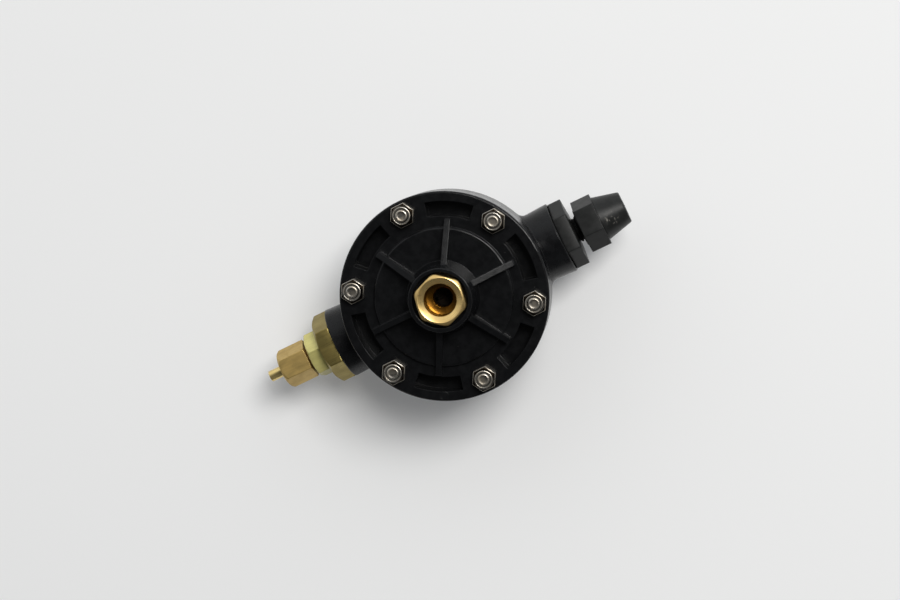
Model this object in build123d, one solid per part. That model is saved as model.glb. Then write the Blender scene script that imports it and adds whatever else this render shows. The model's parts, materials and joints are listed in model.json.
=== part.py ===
from build123d import *
import os
from math import cos, radians, sin, sqrt, tan

# Diaphragm metering pump worked by water pressure. Water enters the brass inlet on top, presses the
# diaphragm and its plunger down, and the plunger drives a dose out of the chamber between two check
# valves. The return spring lifts it again and draws the next dose in.
# Millimetres. +Z is the pump's axis, towards the water inlet. +X is the suction port, -X the delivery
# port. The origin is the middle of the flat rear face.

# ---- heights along the pump's axis ----
PORT_Z = 20.5                # height of the two ports' common axis
SPLIT_Z = 34.5               # face between pump body and cover
COVER_THICK = 11.5           # cover rim, from the split to its flat face
FLANGE_THICK = 12.0          # body flange below the split

# ---- flange and its bolting, M5 ----
FLANGE_R = 37.75
EDGE_ROUND = 0.8
BOLT_COUNT = 6
BOLT_EDGE = 5.25             # bolt centres in from the flange's edge
PATTERN_TURN = 0.8           # cover and bolting stand turned by this from the ports' axis
BOLT_R = 2.45
BOLT_LENGTH = 25.0
BOLT_TIP_R = 1.9             # flat end inside the bolt's end chamfer
BOLT_HOLE_R = 2.75
HEX_AF = 8.0
HEAD_HEIGHT = 3.5
HEAD_POCKET_AF = 8.4
HEAD_POCKET_DEPTH = 3.9
SOCKET_LOW = 12.0            # a spanner reaches the heads from this height up
NUT_HEIGHT = 5.0
NUT_HEX_HEIGHT = 3.6
NUT_BORE_R = 2.5
NUT_CROWN_R = 3.6            # crown where it leaves the hexagon
NUT_LIP_R = 3.1              # crown's rolled edge, outside
NUT_MOUTH_R = 2.75           # crown's rolled edge, inside
NUT_LIP_THICK = 0.35
LOCK_RING_R = 3.15

# ---- cover ----
PLATEAU_EDGE = 12.75         # plateau's edge in from the flange's edge
PLATEAU_RISE = 1.7
POCKET_EDGE = 3.55           # wall between an arc pocket and the flange's edge
POCKET_WIDTH = 5.3
POCKET_HALF_ANGLE = 15.0
POCKET_DEPTH = 8.0
RIB_COUNT = 6
RIB_THICK = 2.1
RIB_END_GAP = 0.9            # ribs end this far inside the pockets
RIB_END_RISE = 3.5
RIB_ROOT_RISE = 8.7
COLLAR_RISE = 14.0           # top of the plastic collar round the inlet
COLLAR_ROOT_R = 13.1
COLLAR_TOP_R = 11.3
COLLAR_WELL_R = 9.9
COLLAR_WELL_DEPTH = 4.5
CHAMBER_EDGE = 11.75         # water chamber's wall at the split in from the flange's edge
CHAMBER_DRAFT = 2.0
CEILING_THICK = 4.5          # wall between water chamber and flat face

# ---- brass water inlet, G1/4 female ----
INLET_RISE = 14.5            # top of the inlet above the flat face
INLET_AF = 17.0
INLET_TURNED_R = 9.15        # its corners are turned off to this radius
INLET_MOUTH_R = 7.15
INLET_THREAD_R = 5.7225      # crest radius of the female thread
INLET_THREAD_DEPTH = 12.0
INLET_HOLE_R = 3.4
INLET_SHANK_R = 8.2
INLET_FLOOR = 3.0            # plastic below the shank
INLET_TURN = -9.4            # the hexagon stands turned by this from the port axis
GROOVE_DEPTH = 0.6
GROOVE_WIDTH = 1.5
GROOVE_COUNT = 3

# ---- diaphragm and the plunger group ----
RUBBER_THICK = 1.5
RUBBER_EDGE = 0.95           # rubber's edge in from the bolt holes
RUBBER_PLAY = 0.1
BEAD_WIDTH = 1.8
BEAD_DEPTH = 1.5
CROWN_RISE = 4.5             # middle of the diaphragm above its clamped rim, at rest
ROLL_START = 0.4             # flat middle reaches this far beyond the plates
ROLL_END = 0.6               # flat rim reaches this far beyond the spring chamber
ROLL_SAG = 0.9               # the roll hangs this far below a straight slope
PLATE_EDGE = 5.0             # plates' edge in from the spring chamber's wall
PRESSURE_PLATE_THICK = 2.2
PISTON_PLATE_THICK = 3.0
LIP_IN_R = 9.35
LIP_OUT_R = 9.9
LIP_DEPTH = 1.0
PLUNGER_R = 4.0
PLUNGER_LENGTH = 11.9
STROKE = 4.0
SCREW_R = 2.1
SCREW_HEAD_R = 4.0
SCREW_LENGTH = 12.0
SLOT_WIDTH = 1.2
SLOT_DEPTH = 1.0
FIT = 0.02                   # pressed or screwed joint inside one body
SLIDE = 0.03                 # sliding seal on its rod
PLAY = 0.1                   # free round fit
STOP_GAP = 0.3               # left between pieces that stop short of each other

# ---- bores of the body, from the split down ----
CAVITY_EDGE = 15.75          # spring chamber's wall in from the flange's edge
CAVITY_DEPTH = 7.0
WELL_OUT_R = 13.5            # ring groove that seats the return spring
WELL_DEPTH = 10.5
TOWER_R = 9.0                # guide tower inside the spring
TOWER_DEPTH = 5.5            # its top below the split
SEAL_R = 6.5
SEAL_HEIGHT = 3.5
RETAINER_HEIGHT = 2.0
RETAINER_RIM_R = 8.5
RETAINER_RIM = 1.2
DOSE_R = 4.3                 # dosing chamber
SPRING_R = 11.0
SPRING_WIRE_R = 0.8
SPRING_TURNS = 3.25

# ---- rear of the body ----
BARREL_EDGE = 14.75          # barrel's wall in from the flange's edge
BARREL_DRAFT = 0.6
BARREL_CHAMFER = 1.0
FIXING_EDGE = 6.0            # fixing holes' centres in from the barrel's wall
FIXING_COUNT = 4
FIXING_FIRST = 45.0
FIXING_R = 2.1
FIXING_DEPTH = 9.0
GUSSET_THICK = 3.0
GUSSET_EDGE = 2.25
GUSSET_LOW = 6.0
GUSSET_ANGLES = (60, 120, 240, 300)
REAR_BORE_R = 8.05
REAR_BORE_DEPTH = 11.0

# ---- stroke adjuster ----
ADJUSTER_R = 8.0
ADJUSTER_INSET = 3.5
ADJUSTER_THREAD = 6.5
ADJUSTER_CHAMFER = 0.6
STEM_R = 4.2
ADJUSTER_SLOT_WIDTH = 1.6
ADJUSTER_SLOT_DEPTH = 2.2
STEM_GROOVE_R = 3.0
STEM_GROOVE_WIDTH = 1.5
STEM_GROOVE_BACK = 2.0       # groove's edge below the tip

# ---- ports ----
BOSS_ROOT_R = 13.1
BOSS_R = 13.5
BOSS_LENGTH = 7.95           # end face of each boss beyond the flange's edge
BOSS_ROOT_ROUND = 3.5
BOSS_CHAMFER = 0.3
PORT_THREAD_R = 9.0
PORT_THREAD_LENGTH = 14.4
SHANK_PLAY = 0.05
RING_MOUTH_R = 10.75         # counterbore that holds the sealing ring
RING_MOUTH_DEPTH = 1.8
RING_SECTION_R = 0.85
SUCTION_BORE_R = 3.6
SUCTION_BORE_LENGTH = 11.3
DELIVERY_BORE_R = 5.0
DELIVERY_BORE_LENGTH = 7.3
CHANNEL_R = 2.0

# ---- check valves ----
BALL_R = 3.0
BALL_GAP = 0.1
SEAT_BORE_R = 2.0
SEAT_EDGE_R = 2.6
SEAT_CONE = 0.8
SEAT_THICK = 2.0
SUCTION_SEAT_R = 4.45
VALVE_SPRING_R = 2.25
VALVE_WIRE_R = 0.25
VALVE_TURNS = 5
VALVE_LIFT = 1.2
VALVE_SPRING_GAP = 0.1       # left at the ball when it is lifted in full
SPRING_POCKET_R = 3.6
SPRING_POCKET_DEPTH = 6.1

# ---- suction fitting: plug, grip sleeve and cap nut ----
PLUG_AF = 22.4
PLUG_TURN = -4.0
PLUG_HEX = 5.2
PLUG_RELIEF = 0.3            # its corners are eased this far where it meets the boss
PLUG_BORE_R = 1.4
SPIGOT_R = 4.9
SPIGOT_LENGTH = 9.1
BARB_R = 2.4
BARB_TIP_R = 2.0
BARB_LENGTH = 3.3
CAP_GAP = 2.3
CAP_AF = 17.5
CAP_HEX = 8.0
CAP_TURN = -11.0
CAP_WASHER_R = 7.0
CAP_WASHER = 0.4
CAP_STEP = 0.6               # plain round step between hexagon and cone
CAP_CONE_R = 8.35
CAP_TIP_R = 5.8
CAP_LENGTH = 18.0
CAP_PLAY = 0.05
CAP_BORE_DEPTH = 10.4
HOSE_HOLE_R = 3.15
SLEEVE_R = 4.6
SLEEVE_BORE_R = 3.6
SLEEVE_LENGTH = 3.0
SLEEVE_SLIT = 0.8
SLEEVE_BACK = 0.1

# ---- delivery fitting: adaptor, connector, tube, olive and compression nut ----
BRASS_AF = 23.2
BRASS_TURN = 4.5
BRASS_HEX = 6.3
SOCKET_R = 4.85
SOCKET_DEPTH = 7.5
CONNECTOR_AF = 15.6
CONNECTOR_TURN = -16.0
CONNECTOR_HEX = 5.5
NIPPLE_R = 5.0
NIPPLE_LENGTH = 8.9
NIPPLE_MOUTH_R = 3.2
NIPPLE_MOUTH_DEPTH = 1.1
FLOW_R = 1.4
TUBE_R = 2.1
TUBE_NECK_R = 1.85           # the stretch drawn down for nipple and olive
TUBE_BORE_R = 1.3
TUBE_PLAY = 0.05
TUBE_IN = 4.7                # tube held inside the nipple
TUBE_OUT = 5.5               # tube standing out of the nut
TUBE_NECK_OUT = 0.2          # the neck ends this far outside the nut
TUBE_FLOOR = 0.3
GLAND_GAP = 1.0
GLAND_AF = 13.0
GLAND_TURN = 3.0
GLAND_LENGTH = 11.4
GLAND_FACE_R = 5.9           # flat outer face inside its rounded corners
GLAND_BACK_R = 6.9
GLAND_WALL = 1.4
OLIVE_R = 3.5
OLIVE_END_R = 2.5
OLIVE_TAIL = 0.15            # olive's tail beyond the nipple's mouth
OLIVE_LENGTH = 1.8

HEX_CHAMFER_SLOPE = tan(radians(30))
FACE_Z = SPLIT_Z + COVER_THICK
BOLT_CIRCLE_R = FLANGE_R - BOLT_EDGE
BOLT_FIRST = PATTERN_TURN + 180 / BOLT_COUNT            # angle of the first bolt from the suction port
PLATEAU_R = FLANGE_R - PLATEAU_EDGE
POCKET_OUT_R = FLANGE_R - POCKET_EDGE
POCKET_IN_R = POCKET_OUT_R - POCKET_WIDTH
RIB_END_R = POCKET_IN_R - RIB_END_GAP
CHAMBER_R = FLANGE_R - CHAMBER_EDGE
CHAMBER_TOP_R = CHAMBER_R - CHAMBER_DRAFT
CAVITY_R = FLANGE_R - CAVITY_EDGE
RUBBER_R = BOLT_CIRCLE_R - BOLT_HOLE_R - RUBBER_EDGE
BEAD_IN_R = RUBBER_R - BEAD_WIDTH
PLATE_R = CAVITY_R - PLATE_EDGE
ROLL_START_R = PLATE_R + ROLL_START
ROLL_END_R = CAVITY_R + ROLL_END
BARREL_R = FLANGE_R - BARREL_EDGE
BARREL_TOP_R = BARREL_R + BARREL_DRAFT
FIXING_CIRCLE_R = BARREL_R - FIXING_EDGE
GUSSET_R = FLANGE_R - GUSSET_EDGE
BOSS_END = FLANGE_R + BOSS_LENGTH
PORT_THREAD_END = BOSS_END - PORT_THREAD_LENGTH
SUCTION_BORE_END = PORT_THREAD_END - SUCTION_BORE_LENGTH
DELIVERY_BORE_END = PORT_THREAD_END - DELIVERY_BORE_LENGTH
FLANGE_LOW = SPLIT_Z - FLANGE_THICK
RIM_Z = SPLIT_Z - RUBBER_THICK
CROWN_Z = RIM_Z + CROWN_RISE                            # underside of the diaphragm's middle
CEILING_Z = FACE_Z - CEILING_THICK
INLET_TOP = FACE_Z + INLET_RISE
COLLAR_TOP = FACE_Z + COLLAR_RISE
COLLAR_FLOOR = COLLAR_TOP - COLLAR_WELL_DEPTH
SHANK_LOW = CEILING_Z + INLET_FLOOR
CAVITY_FLOOR = SPLIT_Z - CAVITY_DEPTH
TOWER_TOP = SPLIT_Z - TOWER_DEPTH
WELL_FLOOR = SPLIT_Z - WELL_DEPTH
RETAINER_LOW = TOWER_TOP - RETAINER_HEIGHT
SEAL_LOW = RETAINER_LOW - SEAL_HEIGHT
PLUNGER_TOP = CROWN_Z - PISTON_PLATE_THICK
PLUNGER_LOW = PLUNGER_TOP - PLUNGER_LENGTH
ADJUSTER_TIP = PLUNGER_LOW - STROKE - STOP_GAP
HEAD_SEAT_Z = FLANGE_LOW + HEAD_POCKET_DEPTH
SCREW_TOP = CROWN_Z + RUBBER_THICK + PRESSURE_PLATE_THICK - FIT
SCREW_END = SCREW_TOP - SCREW_LENGTH
BALL_REACH = sqrt(BALL_R**2 - SEAT_EDGE_R**2)           # ball centre from the plane of the seat's edge
SPRING_REACH = sqrt(BALL_R**2 - VALVE_SPRING_R**2)      # ball centre from the ring where its spring bears
SUCTION_BALL_U = PORT_THREAD_END - BALL_REACH - BALL_GAP
DELIVERY_BALL_U = DELIVERY_BORE_END + SEAT_THICK + BALL_REACH + BALL_GAP
PLUG_END = BOSS_END + PLUG_HEX
SPIGOT_END = PLUG_END + SPIGOT_LENGTH
CAP_LOW = PLUG_END + CAP_GAP
CAP_HIGH = CAP_LOW + CAP_LENGTH
BRASS_END = BOSS_END + BRASS_HEX
CONNECTOR_END = BRASS_END + CONNECTOR_HEX
NIPPLE_END = CONNECTOR_END + NIPPLE_LENGTH
GLAND_LOW = CONNECTOR_END + GLAND_GAP
GLAND_HIGH = GLAND_LOW + GLAND_LENGTH
TUBE_END = GLAND_HIGH + TUBE_OUT
TUBE_NECK_END = GLAND_HIGH + TUBE_NECK_OUT
VALVE_CLEAR = SPRING_REACH + VALVE_WIRE_R + VALVE_LIFT + VALVE_SPRING_GAP

BASE = (Align.CENTER, Align.CENTER, Align.MIN)
SUCTION = Location((0, 0, PORT_Z), (0, 90, 0))          # local +Z runs out along +X
DELIVERY = Location((0, 0, PORT_Z), (0, -90, 0))        # local +Z runs out along -X


def disc(radius, low, high):
    """A round solid on the local Z axis."""
    return Pos(0, 0, low) * Cylinder(radius, high - low, align=BASE)


def taper(low_radius, high_radius, low, high):
    """A round solid whose radius runs straight from one end to the other."""
    return Pos(0, 0, low) * Cone(low_radius, high_radius, high - low, align=BASE)


def ring(outer, inner, low, high):
    """A plain round ring on the local Z axis."""
    return disc(outer, low, high) - disc(inner, low, high)


def turned(*points):
    """A solid turned about the local Z axis from an outline of (radius, height) points."""
    outline = Polyline(*[(r, 0, z) for r, z in points], close=True)
    return revolve(make_face(outline), Axis.Z)


def hexagon(across_flats, low, high, turn=0.0):
    """A hexagonal prism with one pair of flats square to local X, turned by an angle."""
    outline = RegularPolygon(across_flats / 2, 6, major_radius=False, rotation=30 + turn)
    return Pos(0, 0, low) * extrude(outline, high - low)


def turned_hexagon(across_flats, low, high, turn=0.0, low_face=None, high_face=None):
    """A hexagon whose corners are turned off at 30 degrees down to a round face at either end."""
    corner = across_flats / sqrt(3)
    low_r = low_face or corner
    high_r = high_face or corner
    body = turned(
        (0, low),
        (low_r, low),
        (corner + FIT, low + (corner - low_r + FIT) * HEX_CHAMFER_SLOPE),
        (corner + FIT, high - (corner - high_r + FIT) * HEX_CHAMFER_SLOPE),
        (high_r, high),
        (0, high),
    )
    return hexagon(across_flats, low, high, turn) & body


def coil(radius, wire_radius, low, high, turns):
    """A coil spring: a round wire swept along a helix between two end planes."""
    height = high - low - 2 * wire_radius
    path = Helix(height / turns, height, radius, center=(0, 0, low + wire_radius))
    section = Plane(origin=path @ 0, z_dir=path % 0) * Circle(wire_radius)
    return sweep(section, path=path)


def sector(inner, outer, middle, half_angle, low, high):
    """An arc-shaped block between two radii and two radial sides."""
    reach = 2 * outer
    left = (reach * cos(radians(half_angle)), reach * sin(radians(half_angle)))
    right = (left[0], -left[1])
    wedge = Pos(0, 0, low) * extrude(make_face(Polyline((0, 0), left, right, close=True)), high - low)
    return ring(outer, inner, low, high) & (Rot(0, 0, middle) * wedge)


def around(part, count, first=0.0):
    """Copies of a part about the pump's axis, evenly spaced from a first angle."""
    return [Rot(0, 0, first + k * 360 / count) * part for k in range(count)]


def bolt_places(part):
    """One copy of a part at each bolt of the flange, standing on the bolt circle."""
    return around(Pos(BOLT_CIRCLE_R, 0, 0) * part, BOLT_COUNT, BOLT_FIRST)


def rounds(part, radius, height):
    """The horizontal round edges of one radius at one height."""
    found = part.edges().filter_by(GeomType.CIRCLE)
    return [e for e in found if abs(e.radius - radius) < FIT and abs(e.center().Z - height) < FIT]


# ---------------------------------------------------------------- cover and its brass inlet
def front_cover():
    """Moulded cover: bolted rim with arc pockets, raised plateau, gusset ribs and the inlet collar."""
    body = disc(FLANGE_R, SPLIT_Z, FACE_Z)
    body = fillet(rounds(body, FLANGE_R, FACE_Z), EDGE_ROUND)
    plateau = disc(PLATEAU_R, FACE_Z - 1, FACE_Z + PLATEAU_RISE)
    plateau = fillet(rounds(plateau, PLATEAU_R, FACE_Z + PLATEAU_RISE), EDGE_ROUND)
    collar = taper(COLLAR_ROOT_R, COLLAR_TOP_R, FACE_Z + PLATEAU_RISE, COLLAR_TOP)
    collar = fillet(rounds(collar, COLLAR_TOP_R, COLLAR_TOP), EDGE_ROUND / 2)
    rib_side = Polyline(
        (COLLAR_WELL_R, 0, FACE_Z - 1),
        (RIB_END_R, 0, FACE_Z - 1),
        (RIB_END_R, 0, FACE_Z + RIB_END_RISE),
        (COLLAR_TOP_R, 0, FACE_Z + RIB_ROOT_RISE),
        (COLLAR_WELL_R, 0, FACE_Z + RIB_ROOT_RISE),
        close=True,
    )
    rib = extrude(make_face(rib_side), RIB_THICK / 2, both=True)
    body = body + plateau + collar + around(rib, RIB_COUNT, PATTERN_TURN)
    pocket = sector(
        POCKET_IN_R, POCKET_OUT_R, 0, POCKET_HALF_ANGLE, FACE_Z - POCKET_DEPTH, FACE_Z + 1
    )
    body -= around(pocket, RIB_COUNT, PATTERN_TURN)
    body -= bolt_places(disc(BOLT_HOLE_R, SPLIT_Z - 1, FACE_Z + 1))
    body -= taper(CHAMBER_R, CHAMBER_TOP_R, SPLIT_Z, CEILING_Z)
    body -= disc(COLLAR_WELL_R, COLLAR_FLOOR, COLLAR_TOP + 1)
    body -= disc(INLET_SHANK_R, SHANK_LOW, COLLAR_FLOOR + 1)
    return body - disc(INLET_HOLE_R, CEILING_Z - 1, SHANK_LOW + 1)


def water_inlet_bush():
    """Brass inlet bush: turned hexagon, threaded mouth, ledge, feed hole, and grooves that grip the collar."""
    shape = turned_hexagon(INLET_AF, COLLAR_FLOOR, INLET_TOP, INLET_TURN, high_face=INLET_AF / 2)
    shape &= disc(INLET_TURNED_R, COLLAR_FLOOR, INLET_TOP)
    shank = disc(INLET_SHANK_R, SHANK_LOW, COLLAR_FLOOR)
    pitch = (COLLAR_FLOOR - SHANK_LOW) / GROOVE_COUNT
    for step in range(GROOVE_COUNT):
        low = SHANK_LOW + (step + 1) * pitch - GROOVE_WIDTH
        shank -= ring(INLET_SHANK_R + 1, INLET_SHANK_R - GROOVE_DEPTH, low, low + GROOVE_WIDTH)
    shape += shank
    shape -= disc(INLET_THREAD_R, INLET_TOP - INLET_THREAD_DEPTH, INLET_TOP + 1)
    mouth = INLET_MOUTH_R - INLET_THREAD_R
    shape -= taper(INLET_THREAD_R, INLET_MOUTH_R, INLET_TOP - mouth, INLET_TOP)
    return shape - disc(INLET_HOLE_R, SHANK_LOW - 1, INLET_TOP)


# ---------------------------------------------------------------- pump body
def port_boss():
    """One port boss with the round that runs it into the flange's wall."""
    boss = taper(BOSS_ROOT_R, BOSS_R, FLANGE_R, BOSS_END)
    boss = chamfer(rounds(boss, BOSS_R, BOSS_END), BOSS_CHAMFER)
    boss += disc(BOSS_ROOT_R, BARREL_R / 2, FLANGE_R)
    # the round: tangent to the boss's side and to the flange's wall at the height of the port axis
    middle_r = BOSS_ROOT_R + BOSS_ROOT_ROUND
    middle_u = sqrt((FLANGE_R + BOSS_ROOT_ROUND) ** 2 - middle_r**2)
    touch = FLANGE_R / (FLANGE_R + BOSS_ROOT_ROUND)
    flare = disc(middle_r * touch, middle_u * touch - BOSS_ROOT_ROUND, middle_u)
    flare -= Pos(0, 0, middle_u) * Torus(middle_r, BOSS_ROOT_ROUND)
    # only the part of it beside the flange is kept
    reach = 2 * FLANGE_R
    slab = Box(FLANGE_THICK, 2 * reach, 2 * reach)
    middle_z = (FLANGE_LOW + SPLIT_Z) / 2 - PORT_Z
    return boss, flare & (Pos(-middle_z, 0, 0) * slab)


def pump_body():
    """Moulded body: bolted flange, barrel with gussets, two port bosses and the bores between them."""
    barrel = taper(BARREL_R, BARREL_TOP_R, 0, FLANGE_LOW + 1)
    barrel = chamfer(rounds(barrel, BARREL_R, 0), BARREL_CHAMFER)
    body = disc(FLANGE_R, FLANGE_LOW, SPLIT_Z)
    body = fillet(rounds(body, FLANGE_R, FLANGE_LOW), EDGE_ROUND)
    body += barrel
    boss, flare = port_boss()
    flip = Rot(0, 0, 180)
    body += [SUCTION * boss, flip * SUCTION * boss, SUCTION * flare, flip * SUCTION * flare]
    gusset_side = Polyline(
        (BARREL_R - 2, 0, FLANGE_LOW + 1),
        (GUSSET_R, 0, FLANGE_LOW + 1),
        (GUSSET_R, 0, FLANGE_LOW - 1),
        (BARREL_R, 0, GUSSET_LOW),
        (BARREL_R - 2, 0, GUSSET_LOW),
        close=True,
    )
    gusset = extrude(make_face(gusset_side), GUSSET_THICK / 2, both=True)
    body += [Rot(0, 0, angle) * gusset for angle in GUSSET_ANGLES]
    # diaphragm seat, spring chamber and guide tower
    seat_r = RUBBER_R + RUBBER_PLAY
    body -= disc(seat_r, RIM_Z, SPLIT_Z + 1)
    body -= ring(seat_r, BEAD_IN_R - RUBBER_PLAY, RIM_Z - BEAD_DEPTH, RIM_Z + 1)
    body -= disc(CAVITY_R, TOWER_TOP, RIM_Z + 1)
    body -= ring(CAVITY_R, TOWER_R, CAVITY_FLOOR, TOWER_TOP + 1)
    body -= ring(WELL_OUT_R, TOWER_R, WELL_FLOOR, CAVITY_FLOOR + 1)
    # plunger seal, dosing chamber and adjuster
    body -= disc(SEAL_R, SEAL_LOW, TOWER_TOP + 1)
    body -= disc(DOSE_R, REAR_BORE_DEPTH - 1, SEAL_LOW + 1)
    body -= disc(REAR_BORE_R, -1, REAR_BORE_DEPTH)
    # ports
    for side, bore_r, bore_end in (
        (SUCTION, SUCTION_BORE_R, SUCTION_BORE_END),
        (DELIVERY, DELIVERY_BORE_R, DELIVERY_BORE_END),
    ):
        body -= side * disc(PORT_THREAD_R, PORT_THREAD_END, BOSS_END + 1)
        body -= side * disc(RING_MOUTH_R, BOSS_END - RING_MOUTH_DEPTH, BOSS_END + 1)
        body -= side * disc(bore_r, bore_end, PORT_THREAD_END + 1)
        body -= side * disc(CHANNEL_R, 0, bore_end + 1)
    # bolting and rear fixing holes
    body -= bolt_places(disc(BOLT_HOLE_R, FLANGE_LOW - 1, SPLIT_Z + 1))
    body -= bolt_places(hexagon(HEAD_POCKET_AF, SOCKET_LOW, HEAD_SEAT_Z))
    fixing = Pos(FIXING_CIRCLE_R, 0, 0) * disc(FIXING_R, -1, FIXING_DEPTH)
    return body - around(fixing, FIXING_COUNT, FIXING_FIRST)


# ---------------------------------------------------------------- bolting
def flange_bolt():
    """Hexagon bolt with a chamfered end."""
    head = turned_hexagon(HEX_AF, HEAD_SEAT_Z - HEAD_HEIGHT, HEAD_SEAT_Z, low_face=HEX_AF / 2)
    end = HEAD_SEAT_Z + BOLT_LENGTH
    tip = BOLT_R - BOLT_TIP_R
    return head + disc(BOLT_R, HEAD_SEAT_Z, end - tip) + taper(BOLT_R, BOLT_TIP_R, end - tip, end)


def flange_nut():
    """Locking nut: hexagon below, domed crown above, and in the crown the groove of the locking ring."""
    top = FACE_Z + NUT_HEIGHT
    shoulder = FACE_Z + NUT_HEX_HEIGHT
    nut = turned_hexagon(
        HEX_AF, FACE_Z, shoulder, low_face=HEX_AF / 2, high_face=HEX_AF / 2 - NUT_LIP_THICK
    )
    nut += turned(
        (0, shoulder),
        (NUT_CROWN_R, shoulder),
        (NUT_CROWN_R, top - 2 * NUT_LIP_THICK),
        (NUT_LIP_R, top),
        (0, top),
    )
    nut -= disc(NUT_BORE_R, FACE_Z - 1, top + 1)
    nut -= disc(NUT_MOUTH_R, shoulder, top + 1)
    return nut - disc(LOCK_RING_R, shoulder, top - NUT_LIP_THICK)


def lock_ring():
    """Plastic ring held in the nut's crown, tight round the bolt."""
    return ring(
        LOCK_RING_R - FIT, BOLT_R + FIT, FACE_Z + NUT_HEX_HEIGHT, FACE_Z + NUT_HEIGHT - NUT_LIP_THICK
    )


# ---------------------------------------------------------------- diaphragm and plunger group
def diaphragm():
    """Rubber diaphragm: rim with a bead below, rolling slope, and flat middle between the plates."""
    half = RUBBER_THICK / 2
    middle_r = (ROLL_START_R + ROLL_END_R) / 2
    middle_z = (CROWN_Z + RIM_Z) / 2 - ROLL_SAG
    low_roll = ThreePointArc(
        (ROLL_START_R, 0, CROWN_Z), (middle_r - half, 0, middle_z), (ROLL_END_R, 0, RIM_Z)
    )
    high_roll = ThreePointArc(
        (ROLL_END_R + half, 0, SPLIT_Z),
        (middle_r + half, 0, middle_z + RUBBER_THICK),
        (ROLL_START_R + half, 0, CROWN_Z + RUBBER_THICK),
    )
    rim = Polyline(
        (ROLL_END_R, 0, RIM_Z),
        (BEAD_IN_R, 0, RIM_Z),
        (BEAD_IN_R, 0, RIM_Z - BEAD_DEPTH),
        (RUBBER_R, 0, RIM_Z - BEAD_DEPTH),
        (RUBBER_R, 0, SPLIT_Z),
        (ROLL_END_R + half, 0, SPLIT_Z),
    )
    middle = Polyline(
        (ROLL_START_R + half, 0, CROWN_Z + RUBBER_THICK),
        (SCREW_R + FIT, 0, CROWN_Z + RUBBER_THICK),
        (SCREW_R + FIT, 0, CROWN_Z),
        (ROLL_START_R, 0, CROWN_Z),
    )
    return revolve(make_face(low_roll + rim + high_roll + middle), Axis.Z)


def pressure_plate():
    """Plate on the water side of the diaphragm, countersunk for its screw."""
    low = CROWN_Z + RUBBER_THICK
    high = low + PRESSURE_PLATE_THICK
    plate = disc(PLATE_R, low, high)
    plate = fillet(rounds(plate, PLATE_R, high), EDGE_ROUND)
    plate -= disc(SCREW_R + FIT, low - 1, high + 1)
    return plate - taper(SCREW_R + FIT, SCREW_HEAD_R + FIT, high - (SCREW_HEAD_R - SCREW_R), high)


def piston_plate():
    """Plate under the diaphragm, with a lip that centres the return spring."""
    plate = disc(PLATE_R, PLUNGER_TOP, CROWN_Z)
    plate += ring(LIP_OUT_R, LIP_IN_R, PLUNGER_TOP - LIP_DEPTH, PLUNGER_TOP)
    return plate - disc(SCREW_R + FIT, PLUNGER_TOP - 1, CROWN_Z + 1)


def plunger_rod():
    """Round plunger, tapped at its upper end for the plates' screw."""
    rod = disc(PLUNGER_R, PLUNGER_LOW, PLUNGER_TOP)
    rod = chamfer(rounds(rod, PLUNGER_R, PLUNGER_LOW), EDGE_ROUND / 2)
    return rod - disc(SCREW_R + FIT, SCREW_END - 1, PLUNGER_TOP + 1)


def plate_screw():
    """Countersunk slotted screw that holds plates and diaphragm on the plunger."""
    screw = disc(SCREW_R, SCREW_END, SCREW_TOP)
    screw += taper(SCREW_R, SCREW_HEAD_R, SCREW_TOP - (SCREW_HEAD_R - SCREW_R), SCREW_TOP)
    return screw - Pos(0, 0, SCREW_TOP) * Box(3 * SCREW_HEAD_R, SLOT_WIDTH, 2 * SLOT_DEPTH)


def plunger_seal():
    """Lipped rubber seal round the plunger, open towards the dosing chamber."""
    middle = (SEAL_R + PLUNGER_R) / 2
    groove = (SEAL_R - PLUNGER_R) / 6
    body = ring(SEAL_R - FIT, PLUNGER_R + SLIDE, SEAL_LOW, RETAINER_LOW)
    return body - ring(middle + groove, middle - groove, SEAL_LOW - 1, SEAL_LOW + SEAL_HEIGHT / 2)


def seal_retainer():
    """Guide bush that holds the seal down, with a rim on the tower and two spanner slots."""
    body = disc(SEAL_R - FIT, RETAINER_LOW, TOWER_TOP) + disc(
        RETAINER_RIM_R, TOWER_TOP, TOWER_TOP + RETAINER_RIM
    )
    body -= disc(PLUNGER_R + PLAY, RETAINER_LOW - 1, TOWER_TOP + RETAINER_RIM + 1)
    return body - Pos(0, 0, TOWER_TOP + RETAINER_RIM) * Box(3 * SEAL_R, SLOT_WIDTH, RETAINER_RIM)


# ---------------------------------------------------------------- stroke adjuster
STEM_GROOVE_TOP = ADJUSTER_TIP - STEM_GROOVE_BACK


def stroke_adjuster():
    """Slotted threaded plug whose stem reaches up to the dosing chamber and stops the plunger."""
    shoulder = ADJUSTER_INSET + ADJUSTER_THREAD
    plug = disc(ADJUSTER_R, ADJUSTER_INSET, shoulder)
    plug = chamfer(
        rounds(plug, ADJUSTER_R, ADJUSTER_INSET) + rounds(plug, ADJUSTER_R, shoulder), ADJUSTER_CHAMFER
    )
    body = plug + disc(STEM_R, shoulder, ADJUSTER_TIP)
    body -= ring(STEM_R + 1, STEM_GROOVE_R, STEM_GROOVE_TOP - STEM_GROOVE_WIDTH, STEM_GROOVE_TOP)
    slot = Box(3 * ADJUSTER_R, ADJUSTER_SLOT_WIDTH, 2 * ADJUSTER_SLOT_DEPTH)
    return body - Pos(0, 0, ADJUSTER_INSET) * slot


def adjuster_o_ring():
    """O-ring in the groove of the adjuster's stem."""
    section = (DOSE_R - FIT - STEM_GROOVE_R) / 2
    return Pos(0, 0, STEM_GROOVE_TOP - STEM_GROOVE_WIDTH / 2) * Torus(STEM_GROOVE_R + section, section)


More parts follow.
